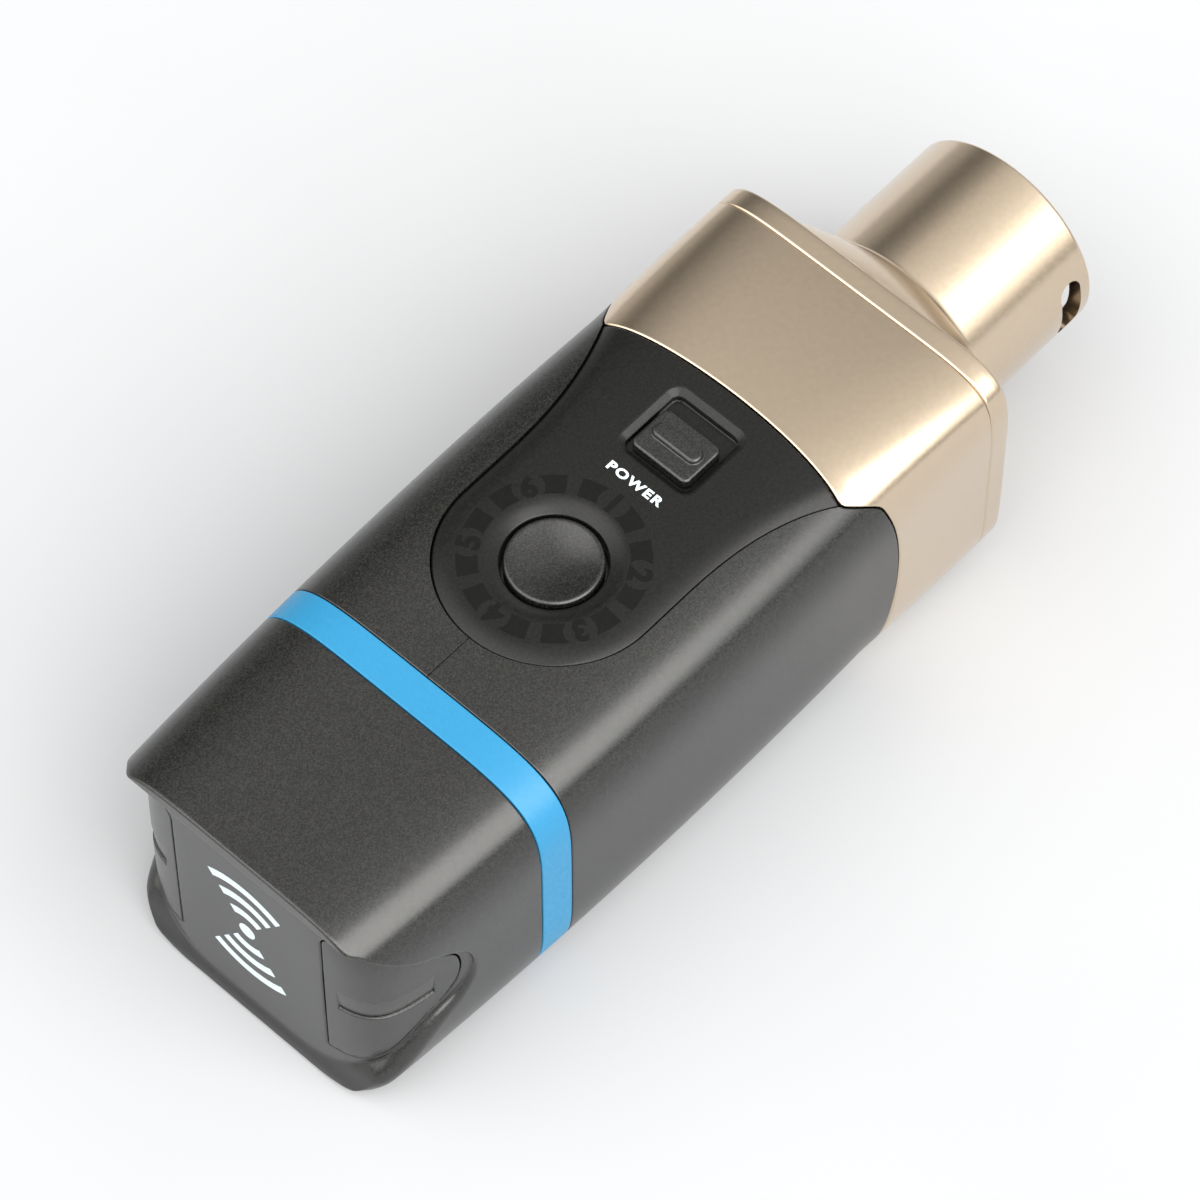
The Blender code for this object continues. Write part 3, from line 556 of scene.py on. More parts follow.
def prism(name, outline, low, high, look, axis="z"):
    """A plain closed solid from an outline: the tool for cuts, and thin printed marks."""
    outline = np.asarray(outline, float)
    count = len(outline)
    points = []
    for level in (low, high):
        for a, b in outline:
            points.append({"z": (a, b, level), "y": (a, level, b), "x": (level, a, b)}[axis])
    faces = [tuple(range(count))[::-1], tuple(range(count, 2 * count))]
    for k in range(count):
        m = (k + 1) % count
        faces.append((k, m, count + m, count + k))
    return add_mesh(name, points, faces, look)


def rounded_rectangle(low, high, radius, steps):
    """Outline of a rectangle with round corners, counterclockwise."""
    points = []
    centres = ((high[0], high[1]), (low[0], high[1]), (low[0], low[1]), (high[0], low[1]))
    signs = ((-1, -1), (1, -1), (1, 1), (-1, 1))
    for quarter, (corner, sign) in enumerate(zip(centres, signs)):
        for step in range(steps + 1):
            turn = math.radians(90 * quarter + 90 * step / steps)
            points.append((corner[0] + sign[0] * radius + radius * math.cos(turn),
                           corner[1] + sign[1] * radius + radius * math.sin(turn)))
    return points


def box_field(a, b, low, high, radius):
    """Distance from a rectangle with round corners, in its plane."""
    p = np.abs(a - (low[0] + high[0]) / 2) - (high[0] - low[0]) / 2 + radius
    q = np.abs(b - (low[1] + high[1]) / 2) - (high[1] - low[1]) / 2 + radius
    return np.hypot(np.maximum(p, 0), np.maximum(q, 0)) + np.minimum(np.maximum(p, q), 0) - radius


# --- materials

class Look:
    """A node material whose patterns lie in the object's own space."""

    def __init__(self, name, color, roughness, metallic=0.0, level=0.5,
                 coat=0.0, coat_roughness=0.1):
        self.material = bpy.data.materials.new(name)
        self.material.use_nodes = True
        self.tree = self.material.node_tree
        self.shader = self.tree.nodes["Principled BSDF"]
        self.shader.inputs["Base Color"].default_value = (*color, 1.0)
        self.shader.inputs["Roughness"].default_value = roughness
        self.shader.inputs["Metallic"].default_value = metallic
        self.shader.inputs["Specular IOR Level"].default_value = level
        self.shader.inputs["Coat Weight"].default_value = coat
        self.shader.inputs["Coat Roughness"].default_value = coat_roughness
        self.space = self.tree.nodes.new("ShaderNodeTexCoord").outputs["Object"]

    def noise(self, grain, detail=2.0, stretch=None):
        """Noise whose grain is this many millimetres across."""
        node = self.tree.nodes.new("ShaderNodeTexNoise")
        node.inputs["Scale"].default_value = 1000.0 / grain
        node.inputs["Detail"].default_value = detail
        source = self.space
        if stretch:
            mapping = self.tree.nodes.new("ShaderNodeMapping")
            mapping.inputs["Scale"].default_value = stretch
            self.tree.links.new(source, mapping.inputs["Vector"])
            source = mapping.outputs["Vector"]
        self.tree.links.new(source, node.inputs["Vector"])
        return node.outputs["Fac"]

    def flakes(self, grain):
        """A random value for each small cell, as in metallic paint."""
        node = self.tree.nodes.new("ShaderNodeTexVoronoi")
        node.inputs["Scale"].default_value = 1000.0 / grain
        self.tree.links.new(self.space, node.inputs["Vector"])
        grey = self.tree.nodes.new("ShaderNodeSeparateColor")
        self.tree.links.new(node.outputs["Color"], grey.inputs["Color"])
        return grey.outputs[0]

    def spread(self, source, low=0.0, high=1.0, from_low=0.3, from_high=0.7):
        """A pattern's values stretched to run from low to high."""
        node = self.tree.nodes.new("ShaderNodeMapRange")
        node.inputs["From Min"].default_value = from_low
        node.inputs["From Max"].default_value = from_high
        node.inputs["To Min"].default_value = low
        node.inputs["To Max"].default_value = high
        self.tree.links.new(source, node.inputs["Value"])
        return node.outputs["Result"]

    def tint(self, factor, dark, light):
        """Base colour between two colours."""
        node = self.tree.nodes.new("ShaderNodeMix")
        node.data_type = "RGBA"
        node.inputs["A"].default_value = (*dark, 1.0)
        node.inputs["B"].default_value = (*light, 1.0)
        self.tree.links.new(factor, node.inputs["Factor"])
        self.tree.links.new(node.outputs["Result"], self.shader.inputs["Base Color"])

    def rough(self, factor):
        self.tree.links.new(factor, self.shader.inputs["Roughness"])

    def bump(self, height, strength, distance):
        """Relief too fine to model, in millimetres."""
        node = self.tree.nodes.new("ShaderNodeBump")
        node.inputs["Strength"].default_value = strength
        node.inputs["Distance"].default_value = distance * 0.001
        self.tree.links.new(height, node.inputs["Height"])
        self.tree.links.new(node.outputs["Normal"], self.shader.inputs["Normal"])


def scaled(color, factor):
    return tuple(c * factor for c in color)


def charcoal_look():
    """Satin paint with a faint metallic speckle."""
    color = (0.0058, 0.0058, 0.0052)
    look = Look("charcoal_paint", color, 0.23, level=0.72)
    speckle = look.spread(look.flakes(0.105), from_low=0.2, from_high=1.0)
    look.tint(speckle, scaled(color, 0.4), scaled(color, 3.2))
    look.rough(look.spread(look.noise(0.22), 0.205, 0.270))
    look.bump(look.flakes(0.10), strength=0.32, distance=0.008)
    return look.material


def panel_look():
    color = (0.005, 0.005, 0.0045)
    look = Look("panel_plastic", color, 0.36, level=0.33)
    look.tint(look.spread(look.noise(0.22)), scaled(color, 0.6), scaled(color, 1.6))
    look.rough(look.spread(look.noise(0.35), 0.27, 0.35))
    look.bump(look.noise(0.18, detail=1.0), strength=0.25, distance=0.009)
    return look.material


def plain_look(name, color, roughness, metallic=0.0, grain=0.4, variation=0.12, level=0.5,
               relief=0.01, stretch=None):
    """A moulded, plated or printed surface, slightly uneven."""
    look = Look(name, color, roughness, metallic, level)
    pattern = look.noise(grain, 3.0, stretch)
    look.tint(look.spread(pattern), scaled(color, 1 - variation), scaled(color, 1 + variation))
    look.rough(look.spread(look.noise(grain * 1.7, stretch=stretch),
                           roughness * 0.88, roughness * 1.12))
    look.bump(pattern, strength=0.2, distance=relief)
    return look.material


def gold_look():
    """Champagne metal under a thin clear coat."""
    color = (0.62, 0.505, 0.375)
    look = Look("champagne_anodised", color, 0.22, 1.0, coat=0.5, coat_roughness=0.22)
    look.tint(look.spread(look.noise(0.5, 3.0)), scaled(color, 0.975), scaled(color, 1.025))
    look.rough(look.spread(look.noise(0.25), 0.19, 0.24))
    look.bump(look.noise(0.12), strength=0.08, distance=0.003)
    return look.material


LOOKS = {
    "charcoal": charcoal_look(),
    "panel_black": panel_look(),
    "band_blue": plain_look("band_plastic", (0.015, 0.188, 0.362), 0.42, grain=0.3, variation=0.04),
    "champagne_metal": gold_look(),
    "insulator_black": plain_look("insulator_resin", (0.018, 0.018, 0.019), 0.5, grain=0.3),
    "contact_silver": plain_look("contact_plate", (0.80, 0.76, 0.66), 0.22, metallic=1.0,
                                 grain=0.8, variation=0.04, stretch=(0.2, 1.0, 1.0)),
    "tin_plate": plain_look("tin_sheet", (0.66, 0.66, 0.65), 0.3, metallic=1.0,
                            grain=0.6, variation=0.05, stretch=(1.0, 0.2, 1.0)),
    "board_green": plain_look("solder_mask", (0.012, 0.11, 0.035), 0.32, grain=1.2, variation=0.18),
    "smoked_window": plain_look("smoked_resin", (0.0042, 0.0043, 0.0042), 0.36, level=0.18),
    "led_white": plain_look("lamp_resin", (0.72, 0.68, 0.55), 0.35, grain=0.3),
    "cell_wrap": plain_look("cell_foil", (0.42, 0.44, 0.48), 0.36, metallic=0.85,
                            grain=0.7, variation=0.07),
    "foam_black": plain_look("soft_rubber", (0.012, 0.012, 0.012), 0.75,
                             grain=0.35, variation=0.3, relief=0.05),
    "chip_black": plain_look("chip_resin", (0.016, 0.016, 0.017), 0.55, grain=0.15, variation=0.2),
    "ceramic_white": plain_look("printed_white", (0.80, 0.81, 0.80), 0.5,
                                grain=0.3, variation=0.04),
    "lead_red": plain_look("lead_red_skin", (0.40, 0.018, 0.014), 0.42, grain=0.5),
    "lead_black": plain_look("lead_black_skin", (0.016, 0.016, 0.016), 0.42, grain=0.5),
    "lead_white": plain_look("lead_white_skin", (0.68, 0.68, 0.66), 0.42,
                             grain=0.5, variation=0.05),
}
PRINT_LOOK = plain_look("printed_pale_blue", (0.60, 0.69, 0.72), 0.45, grain=0.3, variation=0.03)


def replace(piece, node, body="housing"):
    """Shows the piece in the CAD node's place and moves it with the body."""
    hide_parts(node)
    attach(piece, body)
    return piece


# --- end of housing

notch_field = FlatField(smooth_outline(NOTCH, 10))
cover_field = FlatField(smooth_outline(COVER, 10))


def door_edge(x, across, z):
    """Distance from a port cover's outline, with its round corner at the top of the seam."""
    corner = 0.15 + 0.95 * smooth(z, 6.5, 8.5)
    outline = np.maximum(cover_field(x, z), z - COVER_TOP_Z)
    return rounded_max(outline, HINGE_SEAM_Y - across, corner)


def end_cap_field(x, y, z):
    """Cap with its lip, flared foot, side notches, cover pockets and charging opening."""
    lean = REAR_X + FOOT_FLARE * (BODY_HALF_HEIGHT - z) / (2 * BODY_HALF_HEIGHT)
    # The rear edge is rounder at the sides, and most so above the foot
    corner = 0.24 + (1.1 + 0.86 * smooth(z, -9.0, -2.0)) * smooth(np.abs(y), 11.0, 14.5)
    skin = section_field(x, y, z)
    shell = rounded_max(skin, lean - x, corner)
    # The notch's rim softens towards the foot
    notch_edge = 0.22 + 1.5 * smooth(-z, -1.0, 8.0)
    shell = rounded_max(shell, -notch_field(x, z), notch_edge)
    core = core_field(x, y, z)
    solid = rounded_min(shell, np.maximum(core, x - CORE_FRONT_X), 0.12)
    hollow = np.maximum(skin + np.interp(x, HOLLOW_X, HOLLOW_INSET), HOLLOW_REAR_X - x)
    solid = np.maximum(solid, -hollow)
    pocket = door_edge(x, np.abs(y), z) - COVER_GAP
    pocket = np.maximum(pocket, -core - POCKET_DEPTH)
    solid = rounded_max(solid, -pocket, 0.07)
    socket = box_field(y, z, *SOCKET_MOUTH, 0.6)
    solid = rounded_max(solid, -np.maximum(socket, x - SOCKET_FRONT_X), 0.1)
    return rounded_max(solid, x - BAND_REAR_X + BAND_GAP, 0.12)


def port_cover_field(side):
    """Curved wing with a finger grip that deepens towards its foot."""
    def field(x, y, z):
        across = side * y
        core = core_field(x, y, z)
        door = rounded_max(door_edge(x, across, z), core, 0.1)
        door = np.maximum(door, -core - COVER_THICKNESS)
        depth = GRIP_DEPTH * np.clip((GRIP_TOP_Z - z) / (GRIP_TOP_Z - GRIP_FOOT_Z), 0.0, 1.0)
        grip = np.maximum(GRIP_NEAR_Y - across, x - GRIP_FRONT_X)
        grip = rounded_max(grip, GRIP_FOOT_Z - z, 0.1)
        grip = np.maximum(grip, -(core + depth))
        return rounded_max(door, -np.maximum(grip, z - GRIP_TOP_Z), 0.13)
    return field


def end_pieces():
    cap = solid_from_field("end_cap_body", end_cap_field, (-22.3, -16.4, -14.1), (-2.9, 16.4, 14.2),
                           step=0.16, look=LOOKS["charcoal"])
    replace(cap, "end_cap")
    for word, side in (("right", -1), ("left", 1)):
        low_y, high_y = sorted(side * y for y in COVER_SPAN_Y)
        door = solid_from_field(f"port_door_{word}", port_cover_field(side),
                                (-21.3, low_y, -9.2), (-11.4, high_y, 10.8),
                                step=0.09, look=LOOKS["charcoal"])
        replace(door, f"port_cover_{word}", f"port_cover_{word}")


# --- housing rings

def ring_wall(name, x0, x1, rear_radius, front_radius, rows, look):
    """A full ring of wall; its ends are stations or functions of the spot on the section."""
    loops = []
    for k in range(TURNS):
        turn = 2 * math.pi * k / TURNS
        spot = section_spot(SLEEVE_START_X, turn)
        ends = [end(spot[1], spot[2]) if callable(end) else end for end in (x0, x1)]
        pairs = np.array(rounded_wall(*ends, WALL, rear_radius, front_radius, rows))
        loops.append(section_spot(pairs[:, 0], turn, pairs[:, 1]))
    return sweep(name, loops, look)


def panel_outline(offset):
    """Plan of the panel: half a ring round the button, flaring towards the sleeve."""
    open_end_x = 44.0
    side = [(BUTTON_X - (PANEL_RING + offset) * math.cos(t), (PANEL_RING + offset) * math.sin(t))
            for t in (math.radians(90 * k / 40) for k in range(40))]
    for k in range(31):
        x = BUTTON_X + (PANEL_FRONT_X - BUTTON_X) * k / 30
        flare = FLARE_WIDTH * (max(x - FLARE_START_X, 0.0) / FLARE_LENGTH) ** FLARE_POWER
        side.append((x, PANEL_RING + flare + offset))
    side.append((open_end_x, side[-1][1] + (open_end_x - PANEL_FRONT_X) * 0.5))
    return side + [(x, -y) for x, y in reversed(side[1:])]


def body_shells():
    """Two halves that meet on the centre line, each cut out round the panel."""
    for word, side in (("right", -1), ("left", 1)):
        loops = []
        half = TURNS // 2
        for k in range(half + 1):
            turn = math.radians(-90 + 180 * k / half)
            spot = section_spot(SLEEVE_START_X, turn)
            front_x = seam_x(spot[1], spot[2]) - 0.07
            pairs = np.array(rounded_wall(SHELL_REAR_X, front_x, WALL, 0.12, 0.1, rows=44))
            loop = section_spot(pairs[:, 0], turn, pairs[:, 1])
            loop[:, 1] = side * np.maximum(loop[:, 1], SHELL_SEAM_HALF)
            loops.append(loop)
        shell = sweep(f"housing_half_{word}", loops, LOOKS["charcoal"], closed=False)
        cut(shell, prism("panel_gap", panel_outline(PANEL_GAP), 8.0, 20.0, LOOKS["charcoal"]))
        replace(shell, f"body_shell_{word}")


# --- control panel

panel_edge = FlatField(panel_outline(0.0), margin=1.0)


def panel_top(x, y):
    """Height of the panel's raised and softly rounded face."""
    near_edge = (panel_edge(x, y) + PANEL_EDGE_ROUND) / PANEL_EDGE_ROUND
    drop = PANEL_EDGE_DROP * np.clip(near_edge, 0.0, 1.2) ** 2
    reach = np.hypot(x - BUTTON_X, y)
    dish = DISH_DEPTH * (1 - smooth(reach, *DISH_RADII)) ** DISH_POWER
    return crown_z(x, y) + PANEL_RISE - drop - dish


def panel_field(x, y, z):
    """Panel with the button's hole and the chamfered switch slot."""
    solid = rounded_max(z - panel_top(x, y), panel_edge(x, y), 0.15)
    solid = rounded_max(solid, x - (top_seam_x(y) - PANEL_GAP), 0.1)
    solid = np.maximum(solid, crown_z(x, y) - PANEL_THICKNESS - z)
    reach = np.hypot(x - BUTTON_X, y)
    solid = rounded_max(solid, BUTTON_HOLE - reach, 0.12)
    rim = box_field(x, y, (SLOT_X[0], -SLOT_HALF), (SLOT_X[1], SLOT_HALF), 0.7)
    above = z - PANEL_TOP + SLOT_CHAMFER_DEPTH
    chamfer = (SLOT_CHAMFER_SLOPE * rim - above) / math.hypot(SLOT_CHAMFER_SLOPE, 1.0)
    pocket = np.maximum(np.minimum(rim, chamfer), SLOT_FLOOR_Z - z)
    solid = rounded_max(solid, -pocket, 0.05)
    stem = box_field(x, y, (STEM_X - STEM_SLOT_HALF, -STEM_SLOT_HALF),
                     (STEM_X + STEM_SLOT_FRONT, STEM_SLOT_HALF), 0.3)
    return np.maximum(solid, -stem)


def slider_field(x, y, z):
    """Knob with its grip ridge, stem and keeper plate."""
    block = box_field(x, y, (KNOB_X[0], -KNOB_HALF), (KNOB_X[1], KNOB_HALF), 0.65)
    block = rounded_max(block, z - KNOB_TOP_Z, 0.28)
    block = np.maximum(block, SLOT_FLOOR_Z + 0.2 - z)
    ridge = box_field(x, y, (RIDGE_X[0], -RIDGE_HALF), (RIDGE_X[1], RIDGE_HALF), 0.7)
    ridge = rounded_max(ridge, z - KNOB_TOP_Z - RIDGE_RISE, 0.3)
    ridge = np.maximum(ridge, SLOT_FLOOR_Z + 0.5 - z)
    knob = rounded_min(block, ridge, 0.12)
    stem = box_field(x, y, (STEM_X - STEM_HALF, -STEM_HALF), (STEM_X + STEM_HALF, STEM_HALF), 0.2)
    stem = np.maximum(stem, np.maximum(STEM_FOOT_Z - z, z - SLOT_FLOOR_Z - 0.4))
    keeper = box_field(x, y, (STEM_X - KEEPER_HALF_LENGTH, -KEEPER_HALF_WIDTH),
                       (STEM_X + KEEPER_HALF_LENGTH, KEEPER_HALF_WIDTH), 0.3)
    keeper = np.maximum(keeper, np.maximum(KEEPER_Z[0] - z, z - KEEPER_Z[1]))
    return np.minimum(knob, np.minimum(stem, keeper))


def channel_button_piece():
    """Round key with a hollowed top and a rolled rim over its flange."""
    profile = [(AXIS_RADIUS, 11.0), (1.3, 11.0), (1.3, 11.4), (5.1, 11.4), (5.1, 11.7),
               (KEY_RADIUS, 11.75), (KEY_RADIUS, 12.4)]
    for k in range(9):
        turn = math.radians(90 * k / 8)
        profile.append((KEY_RADIUS - KEY_RIM * (1 - math.cos(turn)),
                        KEY_TOP_Z - KEY_RIM + KEY_RIM * math.sin(turn)))
    for k in range(1, 25):
        r = 3.78 * (1 - k / 24) + AXIS_RADIUS
        profile.append((r, KEY_TOP_Z - KEY_HOLLOW * (1 - (r / KEY_HOLLOW_RADIUS) ** 2) ** 1.1))
    return lathe("channel_key", profile, (BUTTON_X, 0.0), LOOKS["charcoal"])


def control_pieces():
    panel = solid_from_field("panel_face", panel_field, (4.5, -13.9, 10.2), (36.3, 13.9, 14.2),
                             step=0.14, look=LOOKS["panel_black"])
    replace(panel, "control_panel")
    replace(channel_button_piece(), "channel_button", "channel_button")
    slider = solid_from_field("slider_knob", slider_field, (26.6, -3.4, 10.8), (31.7, 3.4, 14.5),
                              step=0.075, look=LOOKS["charcoal"])
    replace(slider, "power_slider", "power_slider")


# --- printed marks

def drape(made):
    """Lays a thin flat piece on the panel's face."""
    shift = np.array([CENTRE_X, 0.0, REST_Z])
    for vertex in made.data.vertices:
        x, y, z = np.array(vertex.co) * 1000 + shift
        top = float(panel_top(np.array([x]), np.array([y]))[0])
        vertex.co.z = (top + z - REST_Z) * 0.001
    return made


def window_outline(middle, side):
    """A lamp window beside a digit: its near end bows round the digit."""
    def near_turn(radius):
        """Where the bow round the digit meets a circle, in degrees."""
        meeting = radius ** 2 + DIGIT_RING ** 2 - DIGIT_CLEARANCE ** 2
        return math.degrees(math.acos(meeting / (2 * DIGIT_RING * radius)))

    inner, outer = WINDOW_RADII
    points = []
    for radius, reverse in ((outer, False), (inner, True)):
        near = near_turn(radius)
        turns = [near + (WINDOW_END - near) * k / 10 for k in range(11)]
        points += [(radius, turn) for turn in (turns[::-1] if reverse else turns)]
    points += [(r, near_turn(r)) for r in (inner + (outer - inner) * k / 8 for k in range(1, 8))]
    outline = []
    for radius, turn in points:
        t = math.radians(middle + side * turn)
        outline.append((BUTTON_X + radius * math.cos(t), radius * math.sin(t)))
    return outline if side > 0 else outline[::-1]


def joined(name, pieces):
    """One object from several."""
    bm = bmesh.new()
    for piece in pieces:
        bm.from_mesh(piece.data)
    mesh = bpy.data.meshes.new(name)
    bm.to_mesh(mesh)
    bm.free()
    for material in pieces[0].data.materials:
        mesh.materials.append(material)
    for piece in pieces:
        bpy.data.objects.remove(piece)
    made = bpy.data.objects.new(name, mesh)
    bpy.context.scene.collection.objects.link(made)
    return soften(made, PRINT_SHARP_DEGREES)


def lettering(name, text, size, centre, turn, look, offset, spacing=1.0, stretch=1.0):
    """Plain raised print: text centred on a spot and turned in the panel's plane."""
    curve = bpy.data.curves.new(name, "FONT")
    curve.body = text
    curve.size = size
    curve.align_x = "CENTER"
    curve.align_y = "CENTER"
    curve.offset = offset
    curve.space_character = spacing
    curve.extrude = PRINT_THICKNESS / 2
    curve.resolution_u = 6
    scratch = bpy.data.objects.new(name + "_text", curve)
    bpy.context.scene.collection.objects.link(scratch)
    graph = bpy.context.evaluated_depsgraph_get()
    mesh = bpy.data.meshes.new_from_object(scratch.evaluated_get(graph))
    bpy.data.objects.remove(scratch)
    points = np.array([vertex.co for vertex in mesh.vertices])
    points -= (points.max(0) + points.min(0)) / 2
    points[:, 0] *= stretch
    c, s = math.cos(turn), math.sin(turn)
    x = centre[0] + points[:, 0] * c - points[:, 1] * s
    y = centre[1] + points[:, 0] * s + points[:, 1] * c
    faces = [tuple(p.vertices) for p in mesh.polygons]
    made = add_mesh(name, np.stack([x, y, points[:, 2]], 1), faces, look)
    bpy.data.meshes.remove(mesh)
    return made


def on_housing(piece):
    """Print of its own that no CAD node stands for."""
    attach(piece, "housing")


def panel_marks():
    """A pair of lamp windows round each of six digits, and the switch's label."""
    glass = LOOKS["smoked_window"]
    windows = []
    digits = []
    for number in range(6):
        for side in (-1, 1):
            window = prism("segment", window_outline(-60 * number, side), -0.04, 0.02, glass)
            windows.append(drape(window))
    on_housing(joined("channel_windows", windows))
    for number in range(6):
        turn = math.radians(-60 * number)
        spot = (BUTTON_X + DIGIT_RING * math.cos(turn), DIGIT_RING * math.sin(turn))
        digit = lettering(f"digit_{number + 1}", str(number + 1), DIGIT_SIZE, spot,
                          turn - math.pi / 2, glass, offset=0.11)
        digits.append(drape(digit))
    on_housing(joined("channel_digits", digits))
    label = lettering("power_label", "POWER", LABEL_SIZE, LABEL_SPOT, -math.pi / 2, PRINT_LOOK,
                      offset=0.042, spacing=1.22, stretch=1.26)
    on_housing(soften(drape(label), PRINT_SHARP_DEGREES))


def arc_band(radius, middle):
    """Outline of one arc of the signal mark."""
    turns = [math.radians(middle - MARK_HALF_TURN + 2 * MARK_HALF_TURN * k / 20) for k in range(21)]
    y, z = MARK_CENTRE
    inner, outer = ([(y + r * math.cos(t), z + r * math.sin(t)) for t in turns]
                    for r in (radius - MARK_LINE_HALF, radius + MARK_LINE_HALF))
    return outer + inner[::-1]


def end_mark():
    """A dot between arcs, the plain sign of a radio signal, printed on the end face."""
    dot = [(MARK_CENTRE[0] + MARK_DOT * math.cos(t), MARK_CENTRE[1] + MARK_DOT * math.sin(t))
           for t in (2 * math.pi * k / 32 for k in range(32))]
    outlines = [dot] + [arc_band(radius, middle) for radius in MARK_RADII for middle in (90, -90)]
    parts = [prism("mark", outline, *MARK_X, PRINT_LOOK, "x") for outline in outlines]
    on_housing(joined("signal_mark", parts))


# --- metal head

def gasket_piece():
    """Thin ring in the joint between sleeve and collar."""
    loops = []
    for k in range(TURNS):
        turn = 2 * math.pi * k / TURNS
        rear, front = SLEEVE_END_X - 0.015, SLEEVE_END_X + 0.005
        pairs = np.array([(rear, 0.45), (rear, 1.5), (front, 1.5), (front, 0.45)])
        loops.append(section_spot(pairs[:, 0], turn, pairs[:, 1], flat=False))
    return sweep("gasket_ring", loops, LOOKS["foam_black"])


def quarter_turns(steps):
    """Angles from 0 to 90 degrees, in radians."""
    return [math.radians(90 / steps * k) for k in range(steps + 1)]


def cap_rows():
    """(station, inset, share of the circle, radius) round the front cap's wall."""
    rows = [(SPIGOT_REAR_X, SPIGOT_INSET, 0.0, 0.0), (SPIGOT_STEP_X, SPIGOT_INSET, 0.0, 0.0),
            (COLLAR_X - 0.02, SPIGOT_INSET, 0.0, 0.0), (COLLAR_X, 1.0, 0.0, 0.0)]
    rows += [(COLLAR_X + COLLAR_ROUND * (1 - math.cos(t)), COLLAR_ROUND * (1 - math.sin(t)),
              0.0, 0.0) for t in quarter_turns(6)]
    rows += [(x, 0.0, 0.0, 0.0) for x in (COLLAR_X + 0.34, 51.2, 51.8, 52.3)]
    rows += [(x, inset, 0.0, 0.0)
             for x, inset in ((52.45, 0.02), (52.55, 0.08), (52.6, 0.18), (52.62, 0.25))]
    shallow, steep = DOME_TURNS
    for k in range(31):
        turn = shallow + (steep - shallow) * k / 30
        fall = (math.cos(shallow) - math.cos(turn)) / (math.cos(shallow) - math.cos(steep))
        run = (math.sin(turn) - math.sin(shallow)) / (math.sin(steep) - math.sin(shallow))
        share = 1 - (1 - DOME_FLAT_SHARE) * (1 - fall)
        radius = (DOME_FLAT_SHARE * DOME_FLAT_RADIUS * (1 - fall) + DOME_END_RADIUS * fall) / share
        rows.append((DOME_X + DOME_LENGTH * run, 0.25, share, radius))
    foot, lip = 56.9, MOUTH_X - 0.35
    outline = [(56.47, 9.59), (56.57, 9.53), (56.7, BARREL_RADIUS)]
    outline += [(foot + (lip - foot) * k / 24, BARREL_RADIUS) for k in range(25)]
    outline += [(MOUTH_X - LIP_ROUND * (1 - math.sin(t)),
                 BARREL_RADIUS - LIP_ROUND * (1 - math.cos(t))) for t in quarter_turns(6)]
    outline += [(MOUTH_X, 8.7)]
    outline += [(MOUTH_X - LIP_ROUND * (1 - math.cos(t)),
                 BORE_RADIUS + LIP_ROUND * (1 - math.sin(t))) for t in quarter_turns(5)]
    outline += [(lip - 2.0 * k, BORE_RADIUS) for k in range(1, 10)]
    outline += [(COLLAR_X + 0.6, BORE_RADIUS)]
    rows += [(x, 0.5, 1.0, radius) for x, radius in outline]
    return rows + [(x, SPIGOT_INNER_INSET, 0.0, 0.0)
                   for x in (COLLAR_X + 0.5, SPIGOT_STEP_X, SPIGOT_REAR_X)]


def front_cap_piece():
    """Collar, domed shoulder and connector barrel in one piece."""
    x, inset, share, radius = np.array(cap_rows()).T
    loops = []
    for k in range(TURNS):
        turn = 2 * math.pi * k / TURNS
        spot = section_spot(x, turn, inset, flat=False)
        spot[:, 1] += (radius * math.cos(turn) - spot[:, 1]) * share
        spot[:, 2] += (radius * math.sin(turn) - spot[:, 2]) * share
        loops.append(spot)
    cap = sweep("nose_and_collar", loops, LOOKS["champagne_metal"])
    window = rounded_rectangle((67.0, -3.3), (69.4, 3.3), radius=1.15, steps=10)
    return cut(cap, prism("latch_cut", window, -12.0, -5.0, LOOKS["champagne_metal"], "y"))


def head_pieces():
    band = ring_wall("accent_ring", BAND_REAR_X + BAND_GAP, -0.02, 0.1, 0.1, 8, LOOKS["band_blue"])
    replace(band, "accent_band")
    sleeve = ring_wall("sleeve_shell", lambda y, z: seam_x(y, z) + 0.08, SLEEVE_END_X - 0.02,
                       0.22, 0.1, 36, LOOKS["champagne_metal"])
    replace(sleeve, "head_sleeve")
    replace(front_cap_piece(), "front_cap")
    replace(gasket_piece(), "cap_gasket")


def connector_pieces():
    """Insulator with its three bores, and the round-nosed contact pins."""
    rear, face = INSULATOR_X
    groove = face - 0.25
    profile = [(AXIS_RADIUS, rear), (7.9, rear), (7.9, groove), (7.82, face - 0.08), (7.65, face),
               (6.9, face), (6.8, groove), (6.3, groove), (6.2, face), (AXIS_RADIUS, face)]
    disc = lathe("insulator_disc", profile, (0.0, 0.0), LOOKS["insulator_black"], "x")
    for number, angle in enumerate((150, 30, 270), 1):
        spot = (PIN_RING * math.cos(math.radians(angle)), PIN_RING * math.sin(math.radians(angle)))
        bore = [(AXIS_RADIUS, 48.0), (PIN_HOLE_RADIUS, 48.0), (PIN_HOLE_RADIUS, 60.0),
                (AXIS_RADIUS, 60.0)]
        cut(disc, lathe("bore", bore, spot, LOOKS["insulator_black"], "x", 48))
        pin = [(AXIS_RADIUS, 46.6), (0.75, 46.6), (0.9, 46.75), (0.9, 50.0), (PIN_RADIUS, 50.1),
               (PIN_RADIUS, 57.0), (PIN_RADIUS, 62.0)]
        pin += [(PIN_RADIUS * math.cos(t), 66.5 + 1.1 * math.sin(t))
                for t in (math.radians(7.5 * k) for k in range(12))]
        pin += [(AXIS_RADIUS, 67.6)]
        pin = lathe(f"plug_pin_{number}", pin, spot, LOOKS["contact_silver"], "x", 48)
        replace(pin, f"contact_pin_{number}")
    replace(disc, "connector_insert")


# --- kept CAD nodes

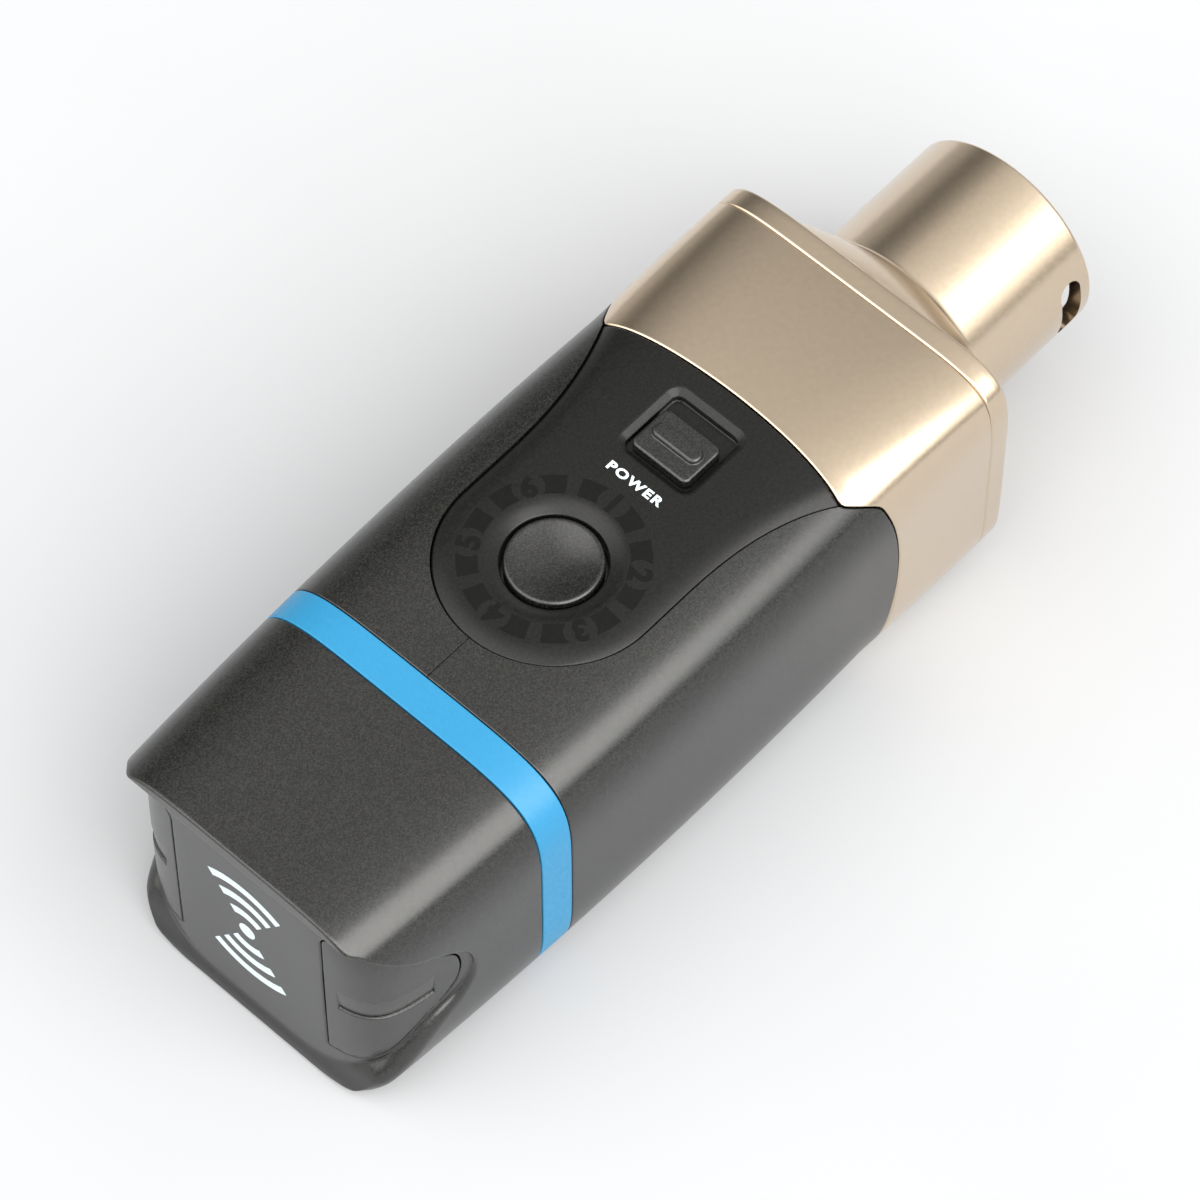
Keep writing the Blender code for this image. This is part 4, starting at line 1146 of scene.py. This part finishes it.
def dress_nodes():
    """Gives every CAD node the look of its material slot."""
    slots = {row["node"]: row["material_slot"] for row in frame["record"]["subparts"]}
    for name, node in frame["nodes"].items():
        look = LOOKS[slots[name]]
        if node.material_slots:
            for slot in node.material_slots:
                slot.material = look
        else:
            node.data.materials.append(look)


# --- studio

# Floor, in metres
FLOOR_HALF = 6.0
FLOOR_DROP = 0.0002

LIGHT_COLOR = (1.0, 0.99, 0.965, 1.0)

# Lights: a direction, and stops of (cosine of the angle from it, brightness)
LAMP = ((-0.10, -0.75, 0.654),
        ((-1.0, 0.18), (-0.5, 0.18), (-0.2, 0.20), (0.05, 0.42), (0.26, 0.80), (0.567, 1.05),
         (0.717, 1.3), (0.796, 1.5), (0.822, 2.2), (0.855, 4.8), (0.877, 5.6), (1.0, 5.8)))
HORIZON = ((0.0, 0.0, 1.0), ((-1.0, 0.4), (0.12, 0.4), (0.24, 1.0), (1.0, 1.0)))
FILL = ((-0.60, 0.35, 0.72), ((-1.0, 0.0), (0.68, 0.0), (0.75, 0.9), (0.90, 1.9), (1.0, 2.6)))
GLOW = ((0.0, 0.849, -0.529), ((-1.0, 0.0), (0.40, 0.0), (0.57, 0.25), (0.71, 0.5), (1.0, 0.6)))
FRONT = ((0.94, 0.33, 0.06), ((-1.0, 0.0), (0.88, 0.0), (0.95, 0.6), (1.0, 0.75)))


def studio_floor():
    corners = [(a * FLOOR_HALF, b * FLOOR_HALF, 0.0)
               for a, b in ((-1, -1), (1, -1), (1, 1), (-1, 1))]
    mesh = bpy.data.meshes.new("studio_floor")
    mesh.from_pydata(corners, [], [(0, 1, 2, 3)])
    paper = Look("white_paper", (0.42, 0.427, 0.442), 0.9, level=0.1)
    paper.tint(paper.spread(paper.noise(40.0)), (0.415, 0.422, 0.437), (0.425, 0.432, 0.447))
    mesh.materials.append(paper.material)
    floor = bpy.data.objects.new("studio_floor", mesh)
    floor.location.z = -FLOOR_DROP
    bpy.context.scene.collection.objects.link(floor)


def studio_light():
    """Soft lamps in the world, as brightness against direction."""
    world = bpy.data.worlds.new("studio")
    world.use_nodes = True
    tree = world.node_tree
    sky = tree.nodes["Background"]
    direction = tree.nodes.new("ShaderNodeTexCoord").outputs["Generated"]

    def math_node(operation, first, second):
        node = tree.nodes.new("ShaderNodeMath")
        node.operation = operation
        for socket, value in zip(node.inputs, (first, second)):
            if isinstance(value, (int, float)):
                socket.default_value = value
            else:
                tree.links.new(value, socket)
        return node.outputs["Value"]

    def light(towards, stops):
        cosine = tree.nodes.new("ShaderNodeVectorMath")
        cosine.operation = "DOT_PRODUCT"
        cosine.inputs[1].default_value = towards
        tree.links.new(direction, cosine.inputs[0])
        node = tree.nodes.new("ShaderNodeFloatCurve")
        line = node.mapping.curves[0]
        top = max(value for _, value in stops)
        shift = math_node("MULTIPLY", math_node("ADD", cosine.outputs["Value"], 1.0), 0.5)
        for k, (at, value) in enumerate(stops):
            if k < 2:
                line.points[k].location = ((at + 1) / 2, value / top)
            else:
                line.points.new((at + 1) / 2, value / top)
        for point in line.points:
            point.handle_type = "VECTOR"
        node.mapping.update()
        tree.links.new(shift, node.inputs["Value"])
        return math_node("MULTIPLY", node.outputs["Value"], top)

    total = math_node("MULTIPLY", light(*LAMP), light(*HORIZON))
    for lobe in (FILL, GLOW, FRONT):
        total = math_node("ADD", total, light(*lobe))
    tree.links.new(total, sky.inputs["Strength"])
    sky.inputs["Color"].default_value = LIGHT_COLOR
    bpy.context.scene.world = world
    bpy.context.scene.view_settings.view_transform = "Standard"


def camera():
    """Viewpoint above the right rear corner, in metres."""
    spot = (-0.20485, -0.18441, 0.46554)
    right = (0.6769, -0.7361, 0.0)
    up = (0.6301, 0.5794, 0.5171)
    back = (-0.3806, -0.3500, 0.8560)
    data = bpy.data.cameras.new("camera")
    data.lens = 194.12
    data.sensor_width = 36.0
    data.clip_start = 0.01
    made = bpy.data.objects.new("camera", data)
    bpy.context.scene.collection.objects.link(made)
    turn = Matrix((right, up, back)).transposed().to_4x4()
    made.matrix_world = Matrix.Translation(spot) @ turn
    bpy.context.scene.camera = made


dress_nodes()
end_pieces()
head_pieces()
connector_pieces()
body_shells()
control_pieces()
panel_marks()
end_mark()
studio_floor()
studio_light()
camera()
